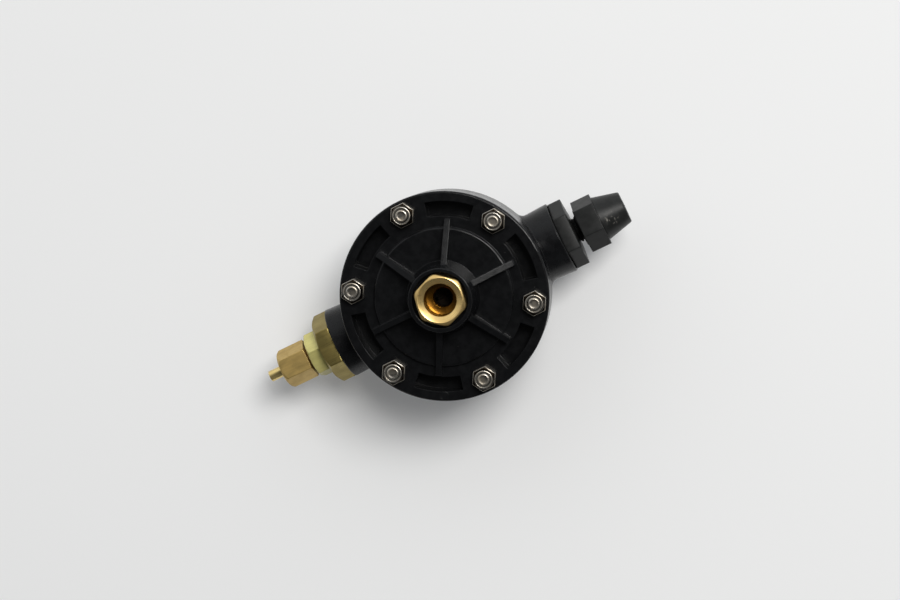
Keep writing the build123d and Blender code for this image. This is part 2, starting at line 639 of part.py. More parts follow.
# ---------------------------------------------------------------- pieces used at both ports
def port_o_ring():
    """O-ring squeezed between an adaptor's hexagon and the boss's counterbore."""
    middle_r = PORT_THREAD_R + RING_SECTION_R
    return Pos(0, 0, BOSS_END - RING_MOUTH_DEPTH / 2) * Torus(middle_r, RING_SECTION_R)


def adaptor_shank(bore):
    """Threaded shank of an adaptor, with its through bore."""
    return ring(PORT_THREAD_R - SHANK_PLAY, bore, PORT_THREAD_END, BOSS_END)


# ---------------------------------------------------------------- suction fitting
def suction_plug():
    """Black plug: valve seat pocket, shank, hexagon, hose spigot and barb in one moulding."""
    body = disc(PORT_THREAD_R - SHANK_PLAY, PORT_THREAD_END, BOSS_END)
    body += turned_hexagon(
        PLUG_AF, BOSS_END, PLUG_END, PLUG_TURN, low_face=PLUG_AF / sqrt(3) - PLUG_RELIEF
    )
    body += disc(SPIGOT_R, PLUG_END, SPIGOT_END)
    body += taper(BARB_R, BARB_TIP_R, SPIGOT_END, SPIGOT_END + BARB_LENGTH)
    body -= disc(SUCTION_SEAT_R + FIT, PORT_THREAD_END - 1, PORT_THREAD_END + SEAT_THICK)
    return body - disc(PLUG_BORE_R, PORT_THREAD_END, SPIGOT_END + BARB_LENGTH + 1)


def suction_valve_seat():
    """Rubber seat ring whose cone faces the pump."""
    body = ring(SUCTION_SEAT_R, SEAT_BORE_R, PORT_THREAD_END, PORT_THREAD_END + SEAT_THICK)
    return body - taper(SEAT_EDGE_R, SEAT_BORE_R, PORT_THREAD_END, PORT_THREAD_END + SEAT_CONE)


def suction_valve_spring():
    """Spring over the suction ball, drawn at the length it has with the ball lifted in full."""
    high = SUCTION_BALL_U - VALVE_CLEAR
    return coil(VALVE_SPRING_R, VALVE_WIRE_R, SUCTION_BORE_END, high, VALVE_TURNS)


def hose_cap_nut():
    """Hose cap nut: hexagon, round step and cone, bored for spigot, grip sleeve and hose."""
    hex_end = CAP_LOW + CAP_HEX
    cone_low = hex_end + CAP_STEP
    body = hexagon(CAP_AF, CAP_LOW + CAP_WASHER, hex_end, CAP_TURN)
    body += disc(CAP_WASHER_R, CAP_LOW, CAP_LOW + CAP_WASHER)
    body += disc(CAP_CONE_R, hex_end, cone_low) + taper(CAP_CONE_R, CAP_TIP_R, cone_low, CAP_HIGH)
    body -= disc(SPIGOT_R + CAP_PLAY, CAP_LOW - 1, CAP_LOW + CAP_BORE_DEPTH)
    return body - disc(HOSE_HOLE_R, CAP_LOW, CAP_HIGH + 1)


def hose_grip_sleeve():
    """Split sleeve that the cap nut squeezes onto the hose."""
    high = CAP_LOW + CAP_BORE_DEPTH - SLEEVE_BACK
    body = ring(SLEEVE_R, SLEEVE_BORE_R, high - SLEEVE_LENGTH, high)
    return body - Pos(SLEEVE_R, 0, high) * Box(SLEEVE_R, SLEEVE_SLIT, 3 * SLEEVE_LENGTH)


# ---------------------------------------------------------------- delivery fitting
def delivery_adaptor():
    """Brass adaptor: shank with the spring's pocket, big hexagon, and socket for the connector."""
    body = disc(PORT_THREAD_R - SHANK_PLAY, PORT_THREAD_END, BOSS_END)
    body += turned_hexagon(BRASS_AF, BOSS_END, BRASS_END, BRASS_TURN, high_face=BRASS_AF / 2)
    body -= disc(SPRING_POCKET_R, PORT_THREAD_END - 1, PORT_THREAD_END + SPRING_POCKET_DEPTH)
    body -= disc(FLOW_R, PORT_THREAD_END, BRASS_END + 1)
    return body - disc(SOCKET_R, BRASS_END - SOCKET_DEPTH, BRASS_END + 1)


def delivery_valve_seat():
    """Rubber seat ring whose cone faces away from the pump."""
    high = DELIVERY_BORE_END + SEAT_THICK
    body = ring(DELIVERY_BORE_R - FIT, SEAT_BORE_R, DELIVERY_BORE_END, high)
    return body - taper(SEAT_BORE_R, SEAT_EDGE_R, high - SEAT_CONE, high)


def delivery_valve_spring():
    """Spring over the delivery ball, drawn at the length it has with the ball lifted in full."""
    low = DELIVERY_BALL_U + VALVE_CLEAR
    high = PORT_THREAD_END + SPRING_POCKET_DEPTH
    return coil(VALVE_SPRING_R, VALVE_WIRE_R, low, high, VALVE_TURNS)


def delivery_connector():
    """Brass connector: shank in the adaptor, hexagon, and nipple that takes the tube."""
    body = disc(SOCKET_R - SHANK_PLAY, BRASS_END - SOCKET_DEPTH, BRASS_END)
    body += turned_hexagon(
        CONNECTOR_AF, BRASS_END, CONNECTOR_END, CONNECTOR_TURN, high_face=CONNECTOR_AF / 2
    )
    body += disc(NIPPLE_R, CONNECTOR_END, NIPPLE_END)
    body -= disc(TUBE_BORE_R, BRASS_END - SOCKET_DEPTH - 1, NIPPLE_END)
    body -= disc(TUBE_NECK_R + TUBE_PLAY, NIPPLE_END - TUBE_IN - TUBE_FLOOR, NIPPLE_END + 1)
    return body - taper(TUBE_NECK_R, NIPPLE_MOUTH_R, NIPPLE_END - NIPPLE_MOUTH_DEPTH, NIPPLE_END)


def outlet_tube():
    """Short brass delivery tube, drawn down where the nipple and the olive take it."""
    body = disc(TUBE_NECK_R, NIPPLE_END - TUBE_IN, TUBE_NECK_END) + disc(TUBE_R, TUBE_NECK_END, TUBE_END)
    return body - disc(TUBE_BORE_R, NIPPLE_END - TUBE_IN - 1, TUBE_END + 1)


def tube_olive():
    """Brass olive on the tube, squeezed between nipple and nut."""
    low = NIPPLE_END + OLIVE_TAIL
    middle = low + OLIVE_LENGTH / 2
    high = low + OLIVE_LENGTH
    body = taper(OLIVE_END_R, OLIVE_R, low, middle) + taper(OLIVE_R, OLIVE_END_R, middle, high)
    return body - disc(TUBE_NECK_R + FIT, low - 1, high + 1)


def compression_nut():
    """Brass compression nut whose outer corners are rounded."""
    body = turned_hexagon(
        GLAND_AF, GLAND_LOW, GLAND_HIGH, GLAND_TURN, low_face=GLAND_BACK_R, high_face=GLAND_FACE_R
    )
    body -= disc(NIPPLE_R + CAP_PLAY, GLAND_LOW - 1, GLAND_HIGH - GLAND_WALL)
    return body - disc(TUBE_R + TUBE_PLAY, GLAND_LOW, GLAND_HIGH + 1)


# ---------------------------------------------------------------- all the pieces in place
PIECES = {
    "front_cover": front_cover(),
    "water_inlet_bush": water_inlet_bush(),
    "pump_body": pump_body(),
    "flange_bolts": Compound(children=bolt_places(flange_bolt())),
    "flange_nuts": Compound(children=bolt_places(flange_nut())),
    "nut_lock_rings": Compound(children=bolt_places(lock_ring())),
    "diaphragm": diaphragm(),
    "pressure_plate": pressure_plate(),
    "piston_plate": piston_plate(),
    "plate_screw": plate_screw(),
    "plunger_rod": plunger_rod(),
    "plunger_seal": plunger_seal(),
    "seal_retainer": seal_retainer(),
    "return_spring": coil(SPRING_R, SPRING_WIRE_R, WELL_FLOOR, PLUNGER_TOP, SPRING_TURNS),
    "stroke_adjuster": stroke_adjuster(),
    "adjuster_o_ring": adjuster_o_ring(),
    "suction_plug": SUCTION * suction_plug(),
    "suction_o_ring": SUCTION * port_o_ring(),
    "suction_valve_seat": SUCTION * suction_valve_seat(),
    "suction_ball": SUCTION * Pos(0, 0, SUCTION_BALL_U) * Sphere(BALL_R),
    "suction_valve_spring": SUCTION * suction_valve_spring(),
    "hose_grip_sleeve": SUCTION * hose_grip_sleeve(),
    "hose_cap_nut": SUCTION * hose_cap_nut(),
    "delivery_adaptor": DELIVERY * delivery_adaptor(),
    "delivery_o_ring": DELIVERY * port_o_ring(),
    "delivery_valve_seat": DELIVERY * delivery_valve_seat(),
    "delivery_ball": DELIVERY * Pos(0, 0, DELIVERY_BALL_U) * Sphere(BALL_R),
    "delivery_valve_spring": DELIVERY * delivery_valve_spring(),
    "delivery_connector": DELIVERY * delivery_connector(),
    "outlet_tube": DELIVERY * outlet_tube(),
    "tube_olive": DELIVERY * tube_olive(),
    "compression_nut": DELIVERY * compression_nut(),
}

os.makedirs("parts", exist_ok=True)
for name, shape in PIECES.items():
    export_step(shape, f"parts/{name}.step")
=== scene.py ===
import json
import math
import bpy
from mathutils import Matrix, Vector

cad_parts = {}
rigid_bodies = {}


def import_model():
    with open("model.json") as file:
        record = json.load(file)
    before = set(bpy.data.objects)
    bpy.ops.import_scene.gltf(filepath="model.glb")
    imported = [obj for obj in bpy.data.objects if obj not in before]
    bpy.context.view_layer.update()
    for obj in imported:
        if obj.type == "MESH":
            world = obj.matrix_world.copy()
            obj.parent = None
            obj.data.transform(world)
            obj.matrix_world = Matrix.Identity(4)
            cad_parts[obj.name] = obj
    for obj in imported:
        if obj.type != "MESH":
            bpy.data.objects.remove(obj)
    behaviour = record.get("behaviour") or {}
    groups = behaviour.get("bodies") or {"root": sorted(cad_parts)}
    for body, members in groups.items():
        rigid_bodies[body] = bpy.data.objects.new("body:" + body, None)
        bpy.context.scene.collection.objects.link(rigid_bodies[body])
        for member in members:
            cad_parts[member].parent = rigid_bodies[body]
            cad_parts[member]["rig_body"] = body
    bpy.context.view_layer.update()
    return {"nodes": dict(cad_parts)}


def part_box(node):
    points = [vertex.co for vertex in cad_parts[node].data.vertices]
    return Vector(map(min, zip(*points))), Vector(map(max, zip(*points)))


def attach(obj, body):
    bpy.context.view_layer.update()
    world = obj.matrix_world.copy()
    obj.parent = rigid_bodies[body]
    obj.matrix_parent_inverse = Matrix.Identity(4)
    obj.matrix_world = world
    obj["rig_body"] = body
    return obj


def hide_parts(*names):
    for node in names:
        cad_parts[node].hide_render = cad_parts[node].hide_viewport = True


bl_info = {
    "name": "Diaphragm Metering Pump",
    "version": (1, 0, 0),
    "blender": (4, 5, 0),
    "location": "View3D > Sidebar > Metering Pump",
    "description": "Builds the visible pieces and finishes of a diaphragm metering pump on its packed frame",
    "category": "Object",
}

import bpy
import numpy as np
from bpy.props import FloatProperty, FloatVectorProperty, IntProperty, PointerProperty
from mathutils import Matrix, Vector

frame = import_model()
NODES = frame["nodes"]
MM = 0.001
TURN = 2 * math.pi
SIXTH = TURN / 6
TAN30 = math.tan(math.radians(30))


def span(node, axis, way=1):
    """Lowest and highest place of a CAD node along one axis, or against it, in millimetres."""
    ends = [way * corner[axis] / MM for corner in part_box(node)]
    return min(ends), max(ends)


PORT_Z = sum(span("suction_ball", 2)) / 2
FACE_Z = span("flange_nuts", 2)[0]
BOLT_HEAD, BOLT_END = span("flange_bolts", 2)
INLET_LOW, INLET_TOP = span("water_inlet_bush", 2)
PLUG_LOW, PLUG_TIP = span("suction_plug", 0)
CAP_LOW, CAP_HIGH = span("hose_cap_nut", 0)
ADAPTOR_LOW, ADAPTOR_END = span("delivery_adaptor", 0, -1)
CONNECTOR_LOW, NIPPLE_END = span("delivery_connector", 0, -1)
GLAND_LOW, GLAND_HIGH = span("compression_nut", 0, -1)
TUBE_LOW, TUBE_END = span("outlet_tube", 0, -1)
SHANK_DEPTH = 14.4  # of the plug and the adaptor in the body's bosses
BOSS_END = PLUG_LOW + SHANK_DEPTH
TOP_NUT_REACH = 4.03  # of the nut furthest along Y, beyond its own axis
BOLT_CIRCLE_R = span("flange_nuts", 1)[1] - TOP_NUT_REACH
FIRST_BOLT = 30.8  # degrees from the suction port


# ---------------------------------------------------------------- sizes and colours a user would change
def length(name, description, value):
    return FloatProperty(name=name, description=description, default=value * MM, unit="LENGTH", precision=5)


def colour(name, description, value):
    return FloatVectorProperty(
        name=name, description=description, default=value, subtype="COLOR", size=3, min=0.0, max=1.0
    )


class PumpSizes(bpy.types.PropertyGroup):
    """Sizes of the pieces that this script builds."""

    inlet_flats: length("Inlet flats", "Across flats of the brass inlet", 17.0)
    inlet_pitch: length("Inlet thread pitch", "Pitch of the female thread in the inlet", 1.337)
    nut_flats: length("Nut flats", "Across flats of the flange nuts and bolts", 8.0)
    crown_lip: length("Nut crown lip", "Radius of the rolled lip on each nut's crown", 2.92)
    plug_flats: length("Plug flats", "Across flats of the black suction plug", 22.4)
    cap_flats: length("Hose cap flats", "Across flats of the hose cap nut", 17.5)
    adaptor_flats: length("Adaptor flats", "Across flats of the big brass hexagon", 23.2)
    connector_flats: length("Connector flats", "Across flats of the small brass hexagon", 15.6)
    gland_flats: length("Gland flats", "Across flats of the compression nut", 13.0)
    tube_radius: length("Tube radius", "Outside radius of the delivery tube", 2.1)
    nut_count: IntProperty(name="Nuts", description="Nuts round the flange", default=6, min=3, max=12)


class PumpColours(bpy.types.PropertyGroup):
    """Base colours of the finishes."""

    moulding: colour("Moulding", "Black glass-filled plastic of cover and body", (0.0042, 0.0044, 0.0049))
    fitting: colour("Fitting", "Black plastic of the suction fitting", (0.0135, 0.014, 0.0138))
    inlet_brass: colour("Inlet brass", "Turned brass of the water inlet", (0.76, 0.54, 0.22))
    # painted shade: the darker amber deep in the inlet's bore stands in for its shade
    inlet_bore: colour("Inlet bore shade", "Painted amber shade inside the water inlet", (0.20, 0.085, 0.008))
    dull_brass: colour("Dull brass", "Oxidised brass of the big hexagon", (0.30, 0.24, 0.08))
    pale_brass: colour("Pale brass", "Bright brass of the connector", (0.57, 0.52, 0.19))
    nut_brass: colour("Nut brass", "Pinkish drawn brass of the compression nut", (0.51, 0.36, 0.125))
    tube_brass: colour("Tube brass", "Yellow brass of the delivery tube", (0.80, 0.62, 0.26))
    zinc: colour("Zinc", "Bright zinc plate of the bolting", (0.47, 0.445, 0.40))
    floor: colour("Floor", "Plain pale floor", (0.835, 0.84, 0.845))


# ---------------------------------------------------------------- surfaces
# Profiles are rows of (radius, height) in millimetres, round the pump's axis or out along a port's.
def rounded_hexagon(apothem, corner, turn, steps):
    """Angles round a hexagon whose corners are rounded to a radius, and its own radius at each. There are so
    many steps over each flat and over each corner. On a flat the radius is the apothem over the cosine of
    the angle from its middle. Past the angle where the corner's circle touches the flat, it is the far side
    of that circle. The turn is in degrees."""
    flat_steps, corner_steps = steps
    middle = (apothem - corner) / math.cos(SIXTH / 2)
    touch = math.atan2(middle * 0.5, apothem)
    flat = np.linspace(-touch, touch, flat_steps + 1)
    bend = np.linspace(touch, SIXTH - touch, corner_steps + 2)[1:-1]
    one = np.concatenate([flat, bend])
    own = np.concatenate([one + k * SIXTH for k in range(6)])
    psi = (own + SIXTH / 2) % SIXTH - SIXTH / 2
    away = SIXTH / 2 - np.abs(psi)
    across = middle * np.sin(away)
    rounded = middle * np.cos(away) + np.sqrt(np.maximum(corner**2 - across**2, 0))
    return own + math.radians(turn), np.where(np.abs(psi) > touch, rounded, apothem / np.cos(psi))


def stack(phi, *pairs):
    """Rows from (radius, height) pairs; either may be a number or one value for each angle."""
    rows = [np.stack([np.broadcast_to(value, phi.shape) for value in pair], -1) for pair in pairs]
    return np.stack(rows).astype(float)


def eased(rows, size, first=1, last=-1):
    """Every inner row from first to last becomes three: two stand back along the slopes by the size, at most
    two fifths of each, and the middle one is a quarter of each of those and half of the corner."""
    count = len(rows)
    last = count + last if last < 0 else last
    before, here, after = rows[:-2], rows[1:-1], rows[2:]

    def back(end):
        step = end - here
        run = np.linalg.norm(step, axis=-1, keepdims=True)
        return here + step / np.maximum(run, 1e-9) * np.minimum(size, 0.4 * run)

    a, b = back(before), back(after)
    middle = 0.25 * a + 0.5 * here + 0.25 * b
    out = [rows[:1]]
    for k in range(1, count - 1):
        inside = first <= k < last
        out.append(np.stack([a[k - 1], middle[k - 1], b[k - 1]]) if inside else rows[k : k + 1])
    return np.concatenate(out + [rows[-1:]])


def chamfered_end(hexagon, face_r, face_u, outward):
    """Two rows where a 30 degree cone cuts a hexagon: the round face's edge, and the arcs down the flats,
    whose height is the face's less the radius beyond the face's edge times the tangent of 30 degrees."""
    arc = face_u - outward * np.maximum(hexagon - face_r, 0) * TAN30
    edge = (np.minimum(hexagon, face_r), face_u)
    return [edge, (hexagon, arc)] if outward < 0 else [(hexagon, arc), edge]


def thread_rows(phi, low, high, pitch, root_r, crest_r, per_turn):
    """Rows of a screw thread: the radius swings between root and crest by the cosine of height over pitch
    less angle over a full turn, sharpened, and fades to the root within part of a pitch of either end."""
    fade, sharpness = 0.6 * pitch, 1.35
    u = np.linspace(low, high, max(3, int((high - low) / pitch * per_turn)))[:, None]
    phase = np.cos(TURN * (u / pitch - phi[None, :] / TURN))
    crest = 0.5 + 0.5 * np.clip(sharpness * phase, -1, 1)
    ends = np.clip(np.minimum(u - low, high - u) / fade, 0, 1)
    r = root_r + (crest_r - root_r) * crest * ends
    return np.stack([r, np.broadcast_to(u, r.shape)], -1)


def placed(local_r, phi, local_u, place):
    """Round coordinates into the row frame, in metres: along the pump's axis, or out along a port."""
    x, y = local_r * np.cos(phi), local_r * np.sin(phi)
    if place == "suction":
        parts = (local_u, y, PORT_Z - x)
    elif place == "delivery":
        parts = (-local_u, y, PORT_Z + x)
    else:
        parts = (x, y, local_u)
    return np.stack(parts, -1) * MM


def skin(rows, phi, place, ring=True):
    """Vertices and faces of a turned surface closed in angle. A ring's last row joins its first; otherwise
    the first and last rows draw in to poles, each one vertex. Faces are turned outward by the enclosed
    volume: the sum over triangles of a corner's product with the cross product of the other two."""
    n, m = rows.shape[:2]
    verts = placed(rows[..., 0], phi[None, :], rows[..., 1], place).reshape(-1, 3)
    i = np.arange(n if ring else n - 1)[:, None]
    j = np.arange(m)[None, :]
    i2, j2 = (i + 1) % n, (j + 1) % m
    quads = np.stack([i * m + j, i * m + j2, i2 * m + j2, i2 * m + j], -1).reshape(-1, 4)
    tris = np.zeros((0, 3), int)
    if not ring:
        poles = np.stack([verts[:m].mean(0), verts[-m:].mean(0)])
        verts = np.concatenate([verts, poles])
        j, j2 = np.arange(m), (np.arange(m) + 1) % m
        low = np.stack([np.full(m, n * m), j2, j], -1)
        high = np.stack([np.full(m, n * m + 1), (n - 1) * m + j, (n - 1) * m + j2], -1)
        tris = np.concatenate([low, high])
    flat = np.concatenate([quads[:, :3], quads[:, [0, 2, 3]], tris])
    a, b, c = verts[flat[:, 0]], verts[flat[:, 1]], verts[flat[:, 2]]
    if np.einsum("ij,ij->i", a, np.cross(b, c)).sum() < 0:
        quads, tris = quads[:, ::-1], tris[:, ::-1]
    return verts, quads, tris


def around_flange(shell):
    """Copies of a skin on the pump's axis, one at each bolt's place round the bolt circle."""
    verts, quads, tris = shell
    count = bpy.context.scene.pump_sizes.nut_count
    shells = []
    for k in range(count):
        angle = math.radians(FIRST_BOLT + k * 360 / count)
        c, s = math.cos(angle), math.sin(angle)
        x, y, z = (verts + np.array([BOLT_CIRCLE_R * MM, 0, 0])).T
        shells.append((np.stack([c * x - s * y, s * x + c * y, z], -1), quads, tris))
    return shells


def painted_shade_values(rows, where, ring=True):
    """How much painted shade each vertex of a skin takes: where(radius, height) at its place in the rows. A
    pole takes none.
    """
    value = np.clip(where(rows[..., 0], rows[..., 1]).astype(float), 0, 1).reshape(-1)
    return value if ring else np.concatenate([value, np.zeros(2)])


def piece(name, shells, node, finish, sharp=38.0, grime=None):
    """One object from skins, in the place of a CAD node: it rides on that node's body, hides the node and
    gets the given finish. The painted shade, one value for each vertex of one skin, is kept as a mesh
    attribute for the finish to read."""
    verts, faces, start = [], [], 0
    for v, quads, tris in shells:
        verts.append(v)
        faces += (quads + start).tolist() + (tris + start).tolist()
        start += len(v)
    mesh = bpy.data.meshes.new(name)
    mesh.from_pydata(np.concatenate(verts).tolist(), [], faces)
    mesh.polygons.foreach_set("use_smooth", np.ones(len(mesh.polygons), bool))
    mesh.update()
    mesh.set_sharp_from_angle(angle=math.radians(sharp))
    if mesh.validate():
        raise RuntimeError(f"{name}: its mesh was not sound")
    if grime is not None:
        # painted shade in gaps and recesses, kept on each vertex
        attribute = mesh.attributes.new("grime", "FLOAT", "POINT")
        attribute.data.foreach_set("value", np.tile(grime, len(shells)))
    obj = bpy.data.objects.new(name, mesh)
    bpy.context.scene.collection.objects.link(obj)
    mesh.materials.append(finish)
    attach(obj, frame["nodes"][node]["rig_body"])
    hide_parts(node)
    return obj


# ---------------------------------------------------------------- shader building
def add(tree, kind, inputs=None, **settings):
    """Adds a node; inputs are values or sockets to link, by name or number."""
    node = tree.nodes.new(kind)
    for key, value in settings.items():
        setattr(node, key, value)
    for key, value in (inputs or {}).items():
        socket = node.inputs[key]
        if isinstance(value, bpy.types.NodeSocket):
            tree.links.new(value, socket)
        else:
            socket.default_value = value
    return node


def noise(tree, vector, scale, detail, rough, distortion=0.0):
    inputs = {"Vector": vector, "Scale": scale, "Detail": detail, "Roughness": rough}
    inputs["Distortion"] = distortion
    return add(tree, "ShaderNodeTexNoise", inputs).outputs[0]


def ranged(tree, value, low, high, out_low=0.0, out_high=1.0):
    """A value moved smoothly from one range to another."""
    inputs = {0: value, 1: low, 2: high, 3: out_low, 4: out_high}
    return add(tree, "ShaderNodeMapRange", inputs, interpolation_type="SMOOTHSTEP").outputs[0]


def maths(tree, operation, a, b=0.0, clamp=False):
    return add(tree, "ShaderNodeMath", {0: a, 1: b}, operation=operation, use_clamp=clamp).outputs[0]


def raised(tree, value, mask, share):
    """A value plus a share of a mask."""
    return maths(tree, "ADD", value, maths(tree, "MULTIPLY", mask, share))


def vectors(tree, operation, a, b=(0.0, 0.0, 0.0)):
    """Outputs of a vector sum: the first is a vector, and Value holds a length or a product."""
    return add(tree, "ShaderNodeVectorMath", {0: a, 1: b}, operation=operation).outputs


def split(tree, vector):
    return add(tree, "ShaderNodeSeparateXYZ", {0: vector}).outputs


def joined(tree, x, y, z):
    return add(tree, "ShaderNodeCombineXYZ", {0: x, 1: y, 2: z}).outputs[0]


def blend(tree, factor, a, b):
    """Colour a moved toward colour b; either is a socket or the values of red, green and blue."""
    a, b = (v if isinstance(v, bpy.types.NodeSocket) else (*v[:3], 1.0) for v in (a, b))
    return add(tree, "ShaderNodeMix", {0: factor, 6: a, 7: b}, data_type="RGBA").outputs[2]


def tint(tree, base, mask, share, tone):
    """A base colour moved toward a tone by a share of a mask."""
    return blend(tree, maths(tree, "MULTIPLY", mask, share), base, tone)


def shade(tone, factors, lift=0.0):
    """A tone times one factor, or times one each for red, green and blue, and no more than full."""
    return np.minimum(np.array(tone) * factors + lift, 1.0).tolist()


def bump(tree, height, distance, strength=1.0, under=None):
    inputs = {"Height": height, "Distance": distance, "Strength": strength}
    if under is not None:
        inputs["Normal"] = under
    return add(tree, "ShaderNodeBump", inputs).outputs[0]


def from_axis(tree, parts):
    """How far a place is from the local Z axis."""
    return vectors(tree, "LENGTH", joined(tree, parts[0], parts[1], 0.0))["Value"]


def material(name, build, metallic=0.0, **constants):
    """A material: build(tree, object coordinates) gives what feeds the shader; numbers are set on it."""
    mat = bpy.data.materials.new(name)
    mat.use_nodes = True
    tree = mat.node_tree
    tree.nodes.clear()
    out = tree.nodes.new("ShaderNodeOutputMaterial")
    shader = tree.nodes.new("ShaderNodeBsdfPrincipled")
    tree.links.new(shader.outputs[0], out.inputs[0])
    shader.inputs["Metallic"].default_value = metallic
    for label, value in constants.items():
        shader.inputs[label.replace("_", " ")].default_value = value
    here = add(tree, "ShaderNodeTexCoord").outputs["Object"]
    for label, socket in build(tree, here).items():
        tree.links.new(socket, shader.inputs[label])
    return mat


# ---------------------------------------------------------------- shared effects
def build_grain(tree, given):
    """Fine moulded grain: two sizes of noise, the small one for height and both for tone."""
    fine = noise(tree, given["Vector"], given["Scale"], 3.0, 0.65)
    wide = vectors(tree, "MULTIPLY", given["Vector"], (0.07, 0.07, 0.07))[0]
    coarse = noise(tree, wide, given["Scale"], 4.0, 0.6)
    tone = maths(tree, "ADD", maths(tree, "MULTIPLY", fine, 0.4), maths(tree, "MULTIPLY", coarse, 0.6))
    broad = ranged(tree, coarse, 0.32, 0.68)
    return {"Tone": ranged(tree, tone, 0.35, 0.65), "Height": fine, "Broad": broad}


def build_specks(tree, given):
    """Small bright specks: the middles of scattered cells, kept where a second noise is high."""
    inputs = {"Vector": given["Vector"], "Scale": given["Scale"], "Randomness": 1.0}
    cells = add(tree, "ShaderNodeTexVoronoi", inputs).outputs
    near = ranged(tree, cells["Distance"], given["Size"], 0.0)
    keep = noise(tree, cells["Position"], 9000.0, 1.0, 0.5)
    return {"Mask": maths(tree, "MULTIPLY", near, maths(tree, "GREATER_THAN", keep, given["Sparse"]))}


def build_wear_and_highlight(tree, given):
    """Worn edges and a painted edge highlight: how far the rounded normal leans from the true one, broken up
    by noise.
    """
    soft = add(tree, "ShaderNodeBevel", {"Radius": given["Width"]}, samples=6).outputs[0]
    true = add(tree, "ShaderNodeNewGeometry").outputs["Normal"]
    edge = ranged(tree, vectors(tree, "DOT_PRODUCT", soft, true)["Value"], 0.995, 0.86)
    patchy = ranged(tree, noise(tree, given["Vector"], given["Scale"], 5.0, 0.7), 0.35, 0.62)
    worn = maths(tree, "MULTIPLY", edge, maths(tree, "MULTIPLY", patchy, given["Amount"]), clamp=True)
    return {"Mask": worn, "Normal": soft}


def build_turning(tree, given):
    """Turning marks: noise along the radius and the height only, so it runs in rings about the local axis."""
    parts = split(tree, given["Vector"])
    place = joined(tree, from_axis(tree, parts), parts[2], 0.0)
    fine = noise(tree, place, given["Scale"], 3.0, 0.7)
    return {"Tone": ranged(tree, fine, 0.35, 0.65), "Height": fine}


def build_drawn(tree, given):
    """Drawn streaks: noise stretched thirty times along the local axis, with finer and broader lines."""
    long = vectors(tree, "MULTIPLY", given["Vector"], (1.0, 1.0, 0.03))[0]
    fine = noise(tree, long, given["Scale"], 4.0, 0.7)
    broad = noise(tree, long, 900.0, 3.0, 0.6)
    both = maths(tree, "ADD", maths(tree, "MULTIPLY", fine, 0.55), maths(tree, "MULTIPLY", broad, 0.45))
    return {"Tone": ranged(tree, both, 0.38, 0.62), "Height": fine}


def build_tarnish(tree, given):
    """Cloudy oxide: broad soft patches, and small dark spots where a finer noise is high."""
    cloud = noise(tree, given["Vector"], given["Scale"], 5.0, 0.62, 0.4)
    spots = noise(tree, given["Vector"], 3800.0, 3.0, 0.75)
    return {"Cloud": ranged(tree, cloud, 0.36, 0.66), "Spots": ranged(tree, spots, 0.60, 0.70)}


EFFECTS = {
    "Moulded Grain": (build_grain, {"Scale": 9000.0}, ("Tone", "Height", "Broad")),
    "Specks": (build_specks, {"Scale": 700.0, "Size": 0.2, "Sparse": 0.5}, ("Mask",)),
    "Edge Wear": (build_wear_and_highlight, {"Width": 0.0003, "Scale": 900.0, "Amount": 1.0}, ("Mask", "Normal")),
    "Turning Marks": (build_turning, {"Scale": 6000.0}, ("Tone", "Height")),
    "Drawn Streaks": (build_drawn, {"Scale": 6000.0}, ("Tone", "Height")),
    "Tarnish": (build_tarnish, {"Scale": 260.0}, ("Cloud", "Spots")),
}


def build_groups():
    """Makes each effect a shared node group: a Vector and numbers go in, and masks or a Normal come out."""
    for name, (build, numbers, results) in EFFECTS.items():
        tree = bpy.data.node_groups.new(name, "ShaderNodeTree")
        tree.interface.new_socket("Vector", in_out="INPUT", socket_type="NodeSocketVector")
        for label, value in numbers.items():
            socket = tree.interface.new_socket(label, in_out="INPUT", socket_type="NodeSocketFloat")
            socket.default_value = value
        for label in results:
            kind = "NodeSocketVector" if label == "Normal" else "NodeSocketFloat"
            tree.interface.new_socket(label, in_out="OUTPUT", socket_type=kind)
        entry = tree.nodes.new("NodeGroupInput")
        leave = tree.nodes.new("NodeGroupOutput")
        for label, socket in build(tree, entry.outputs).items():
            tree.links.new(socket, leave.inputs[label])


def use(tree, name, vector, **numbers):
    """Outputs of a shared effect placed in a material, with the material's own numbers."""
    node = tree.nodes.new("ShaderNodeGroup")
    node.node_tree = bpy.data.node_groups[name]
    tree.links.new(vector, node.inputs["Vector"])
    for label, value in numbers.items():
        node.inputs[label].default_value = value
    return node.outputs


# ---------------------------------------------------------------- masks that belong to one place
# painted shade: a mesh attribute that darkens the gaps and recesses of the pieces that carry it
def painted_shade_mask(tree):
    return add(tree, "ShaderNodeAttribute", attribute_name="grime").outputs["Fac"]


def scuff_mask(tree, here):
    """A few pale rubs close together on the cap's upper side, longer across the cap than along it."""
    middle = (65.3 * MM, -1.4 * MM, 28.0 * MM)
    inner, outer = 1.6 * MM, 3.4 * MM
    away = vectors(tree, "DISTANCE", here, middle)["Value"]
    long = vectors(tree, "MULTIPLY", here, (1.0, 0.45, 0.6))[0]
    rubs = ranged(tree, noise(tree, long, 900.0, 3.0, 0.6, 0.4), 0.53, 0.64, 0.0, 0.75)
    return maths(tree, "MULTIPLY", ranged(tree, away, outer, inner), rubs)


def ejector_mark(tree, here, under):
    """A shallow round witness of an ejector pin near the cover's edge: a groove at one distance from its
    middle."""
    middle = (-15.4 * MM, -32.2 * MM, FACE_Z * MM)
    radius, width, depth = 1.5 * MM, 0.16 * MM, 0.04 * MM
    away = vectors(tree, "DISTANCE", here, middle)["Value"]
    off = maths(tree, "ABSOLUTE", maths(tree, "SUBTRACT", away, radius))
    return bump(tree, ranged(tree, off, 0.0, width), depth, 0.8, under)


def bore_depth(tree, here):
    """How far inside the inlet's bore a place lies: one below the lip and nearer the axis than the thread."""
    parts = split(tree, here)
    near = ranged(tree, from_axis(tree, parts), 7.0 * MM, 6.6 * MM)
    deep = ranged(tree, parts[2], (INLET_TOP - 1.2) * MM, (INLET_TOP - 1.7) * MM)
    return maths(tree, "MULTIPLY", near, deep)


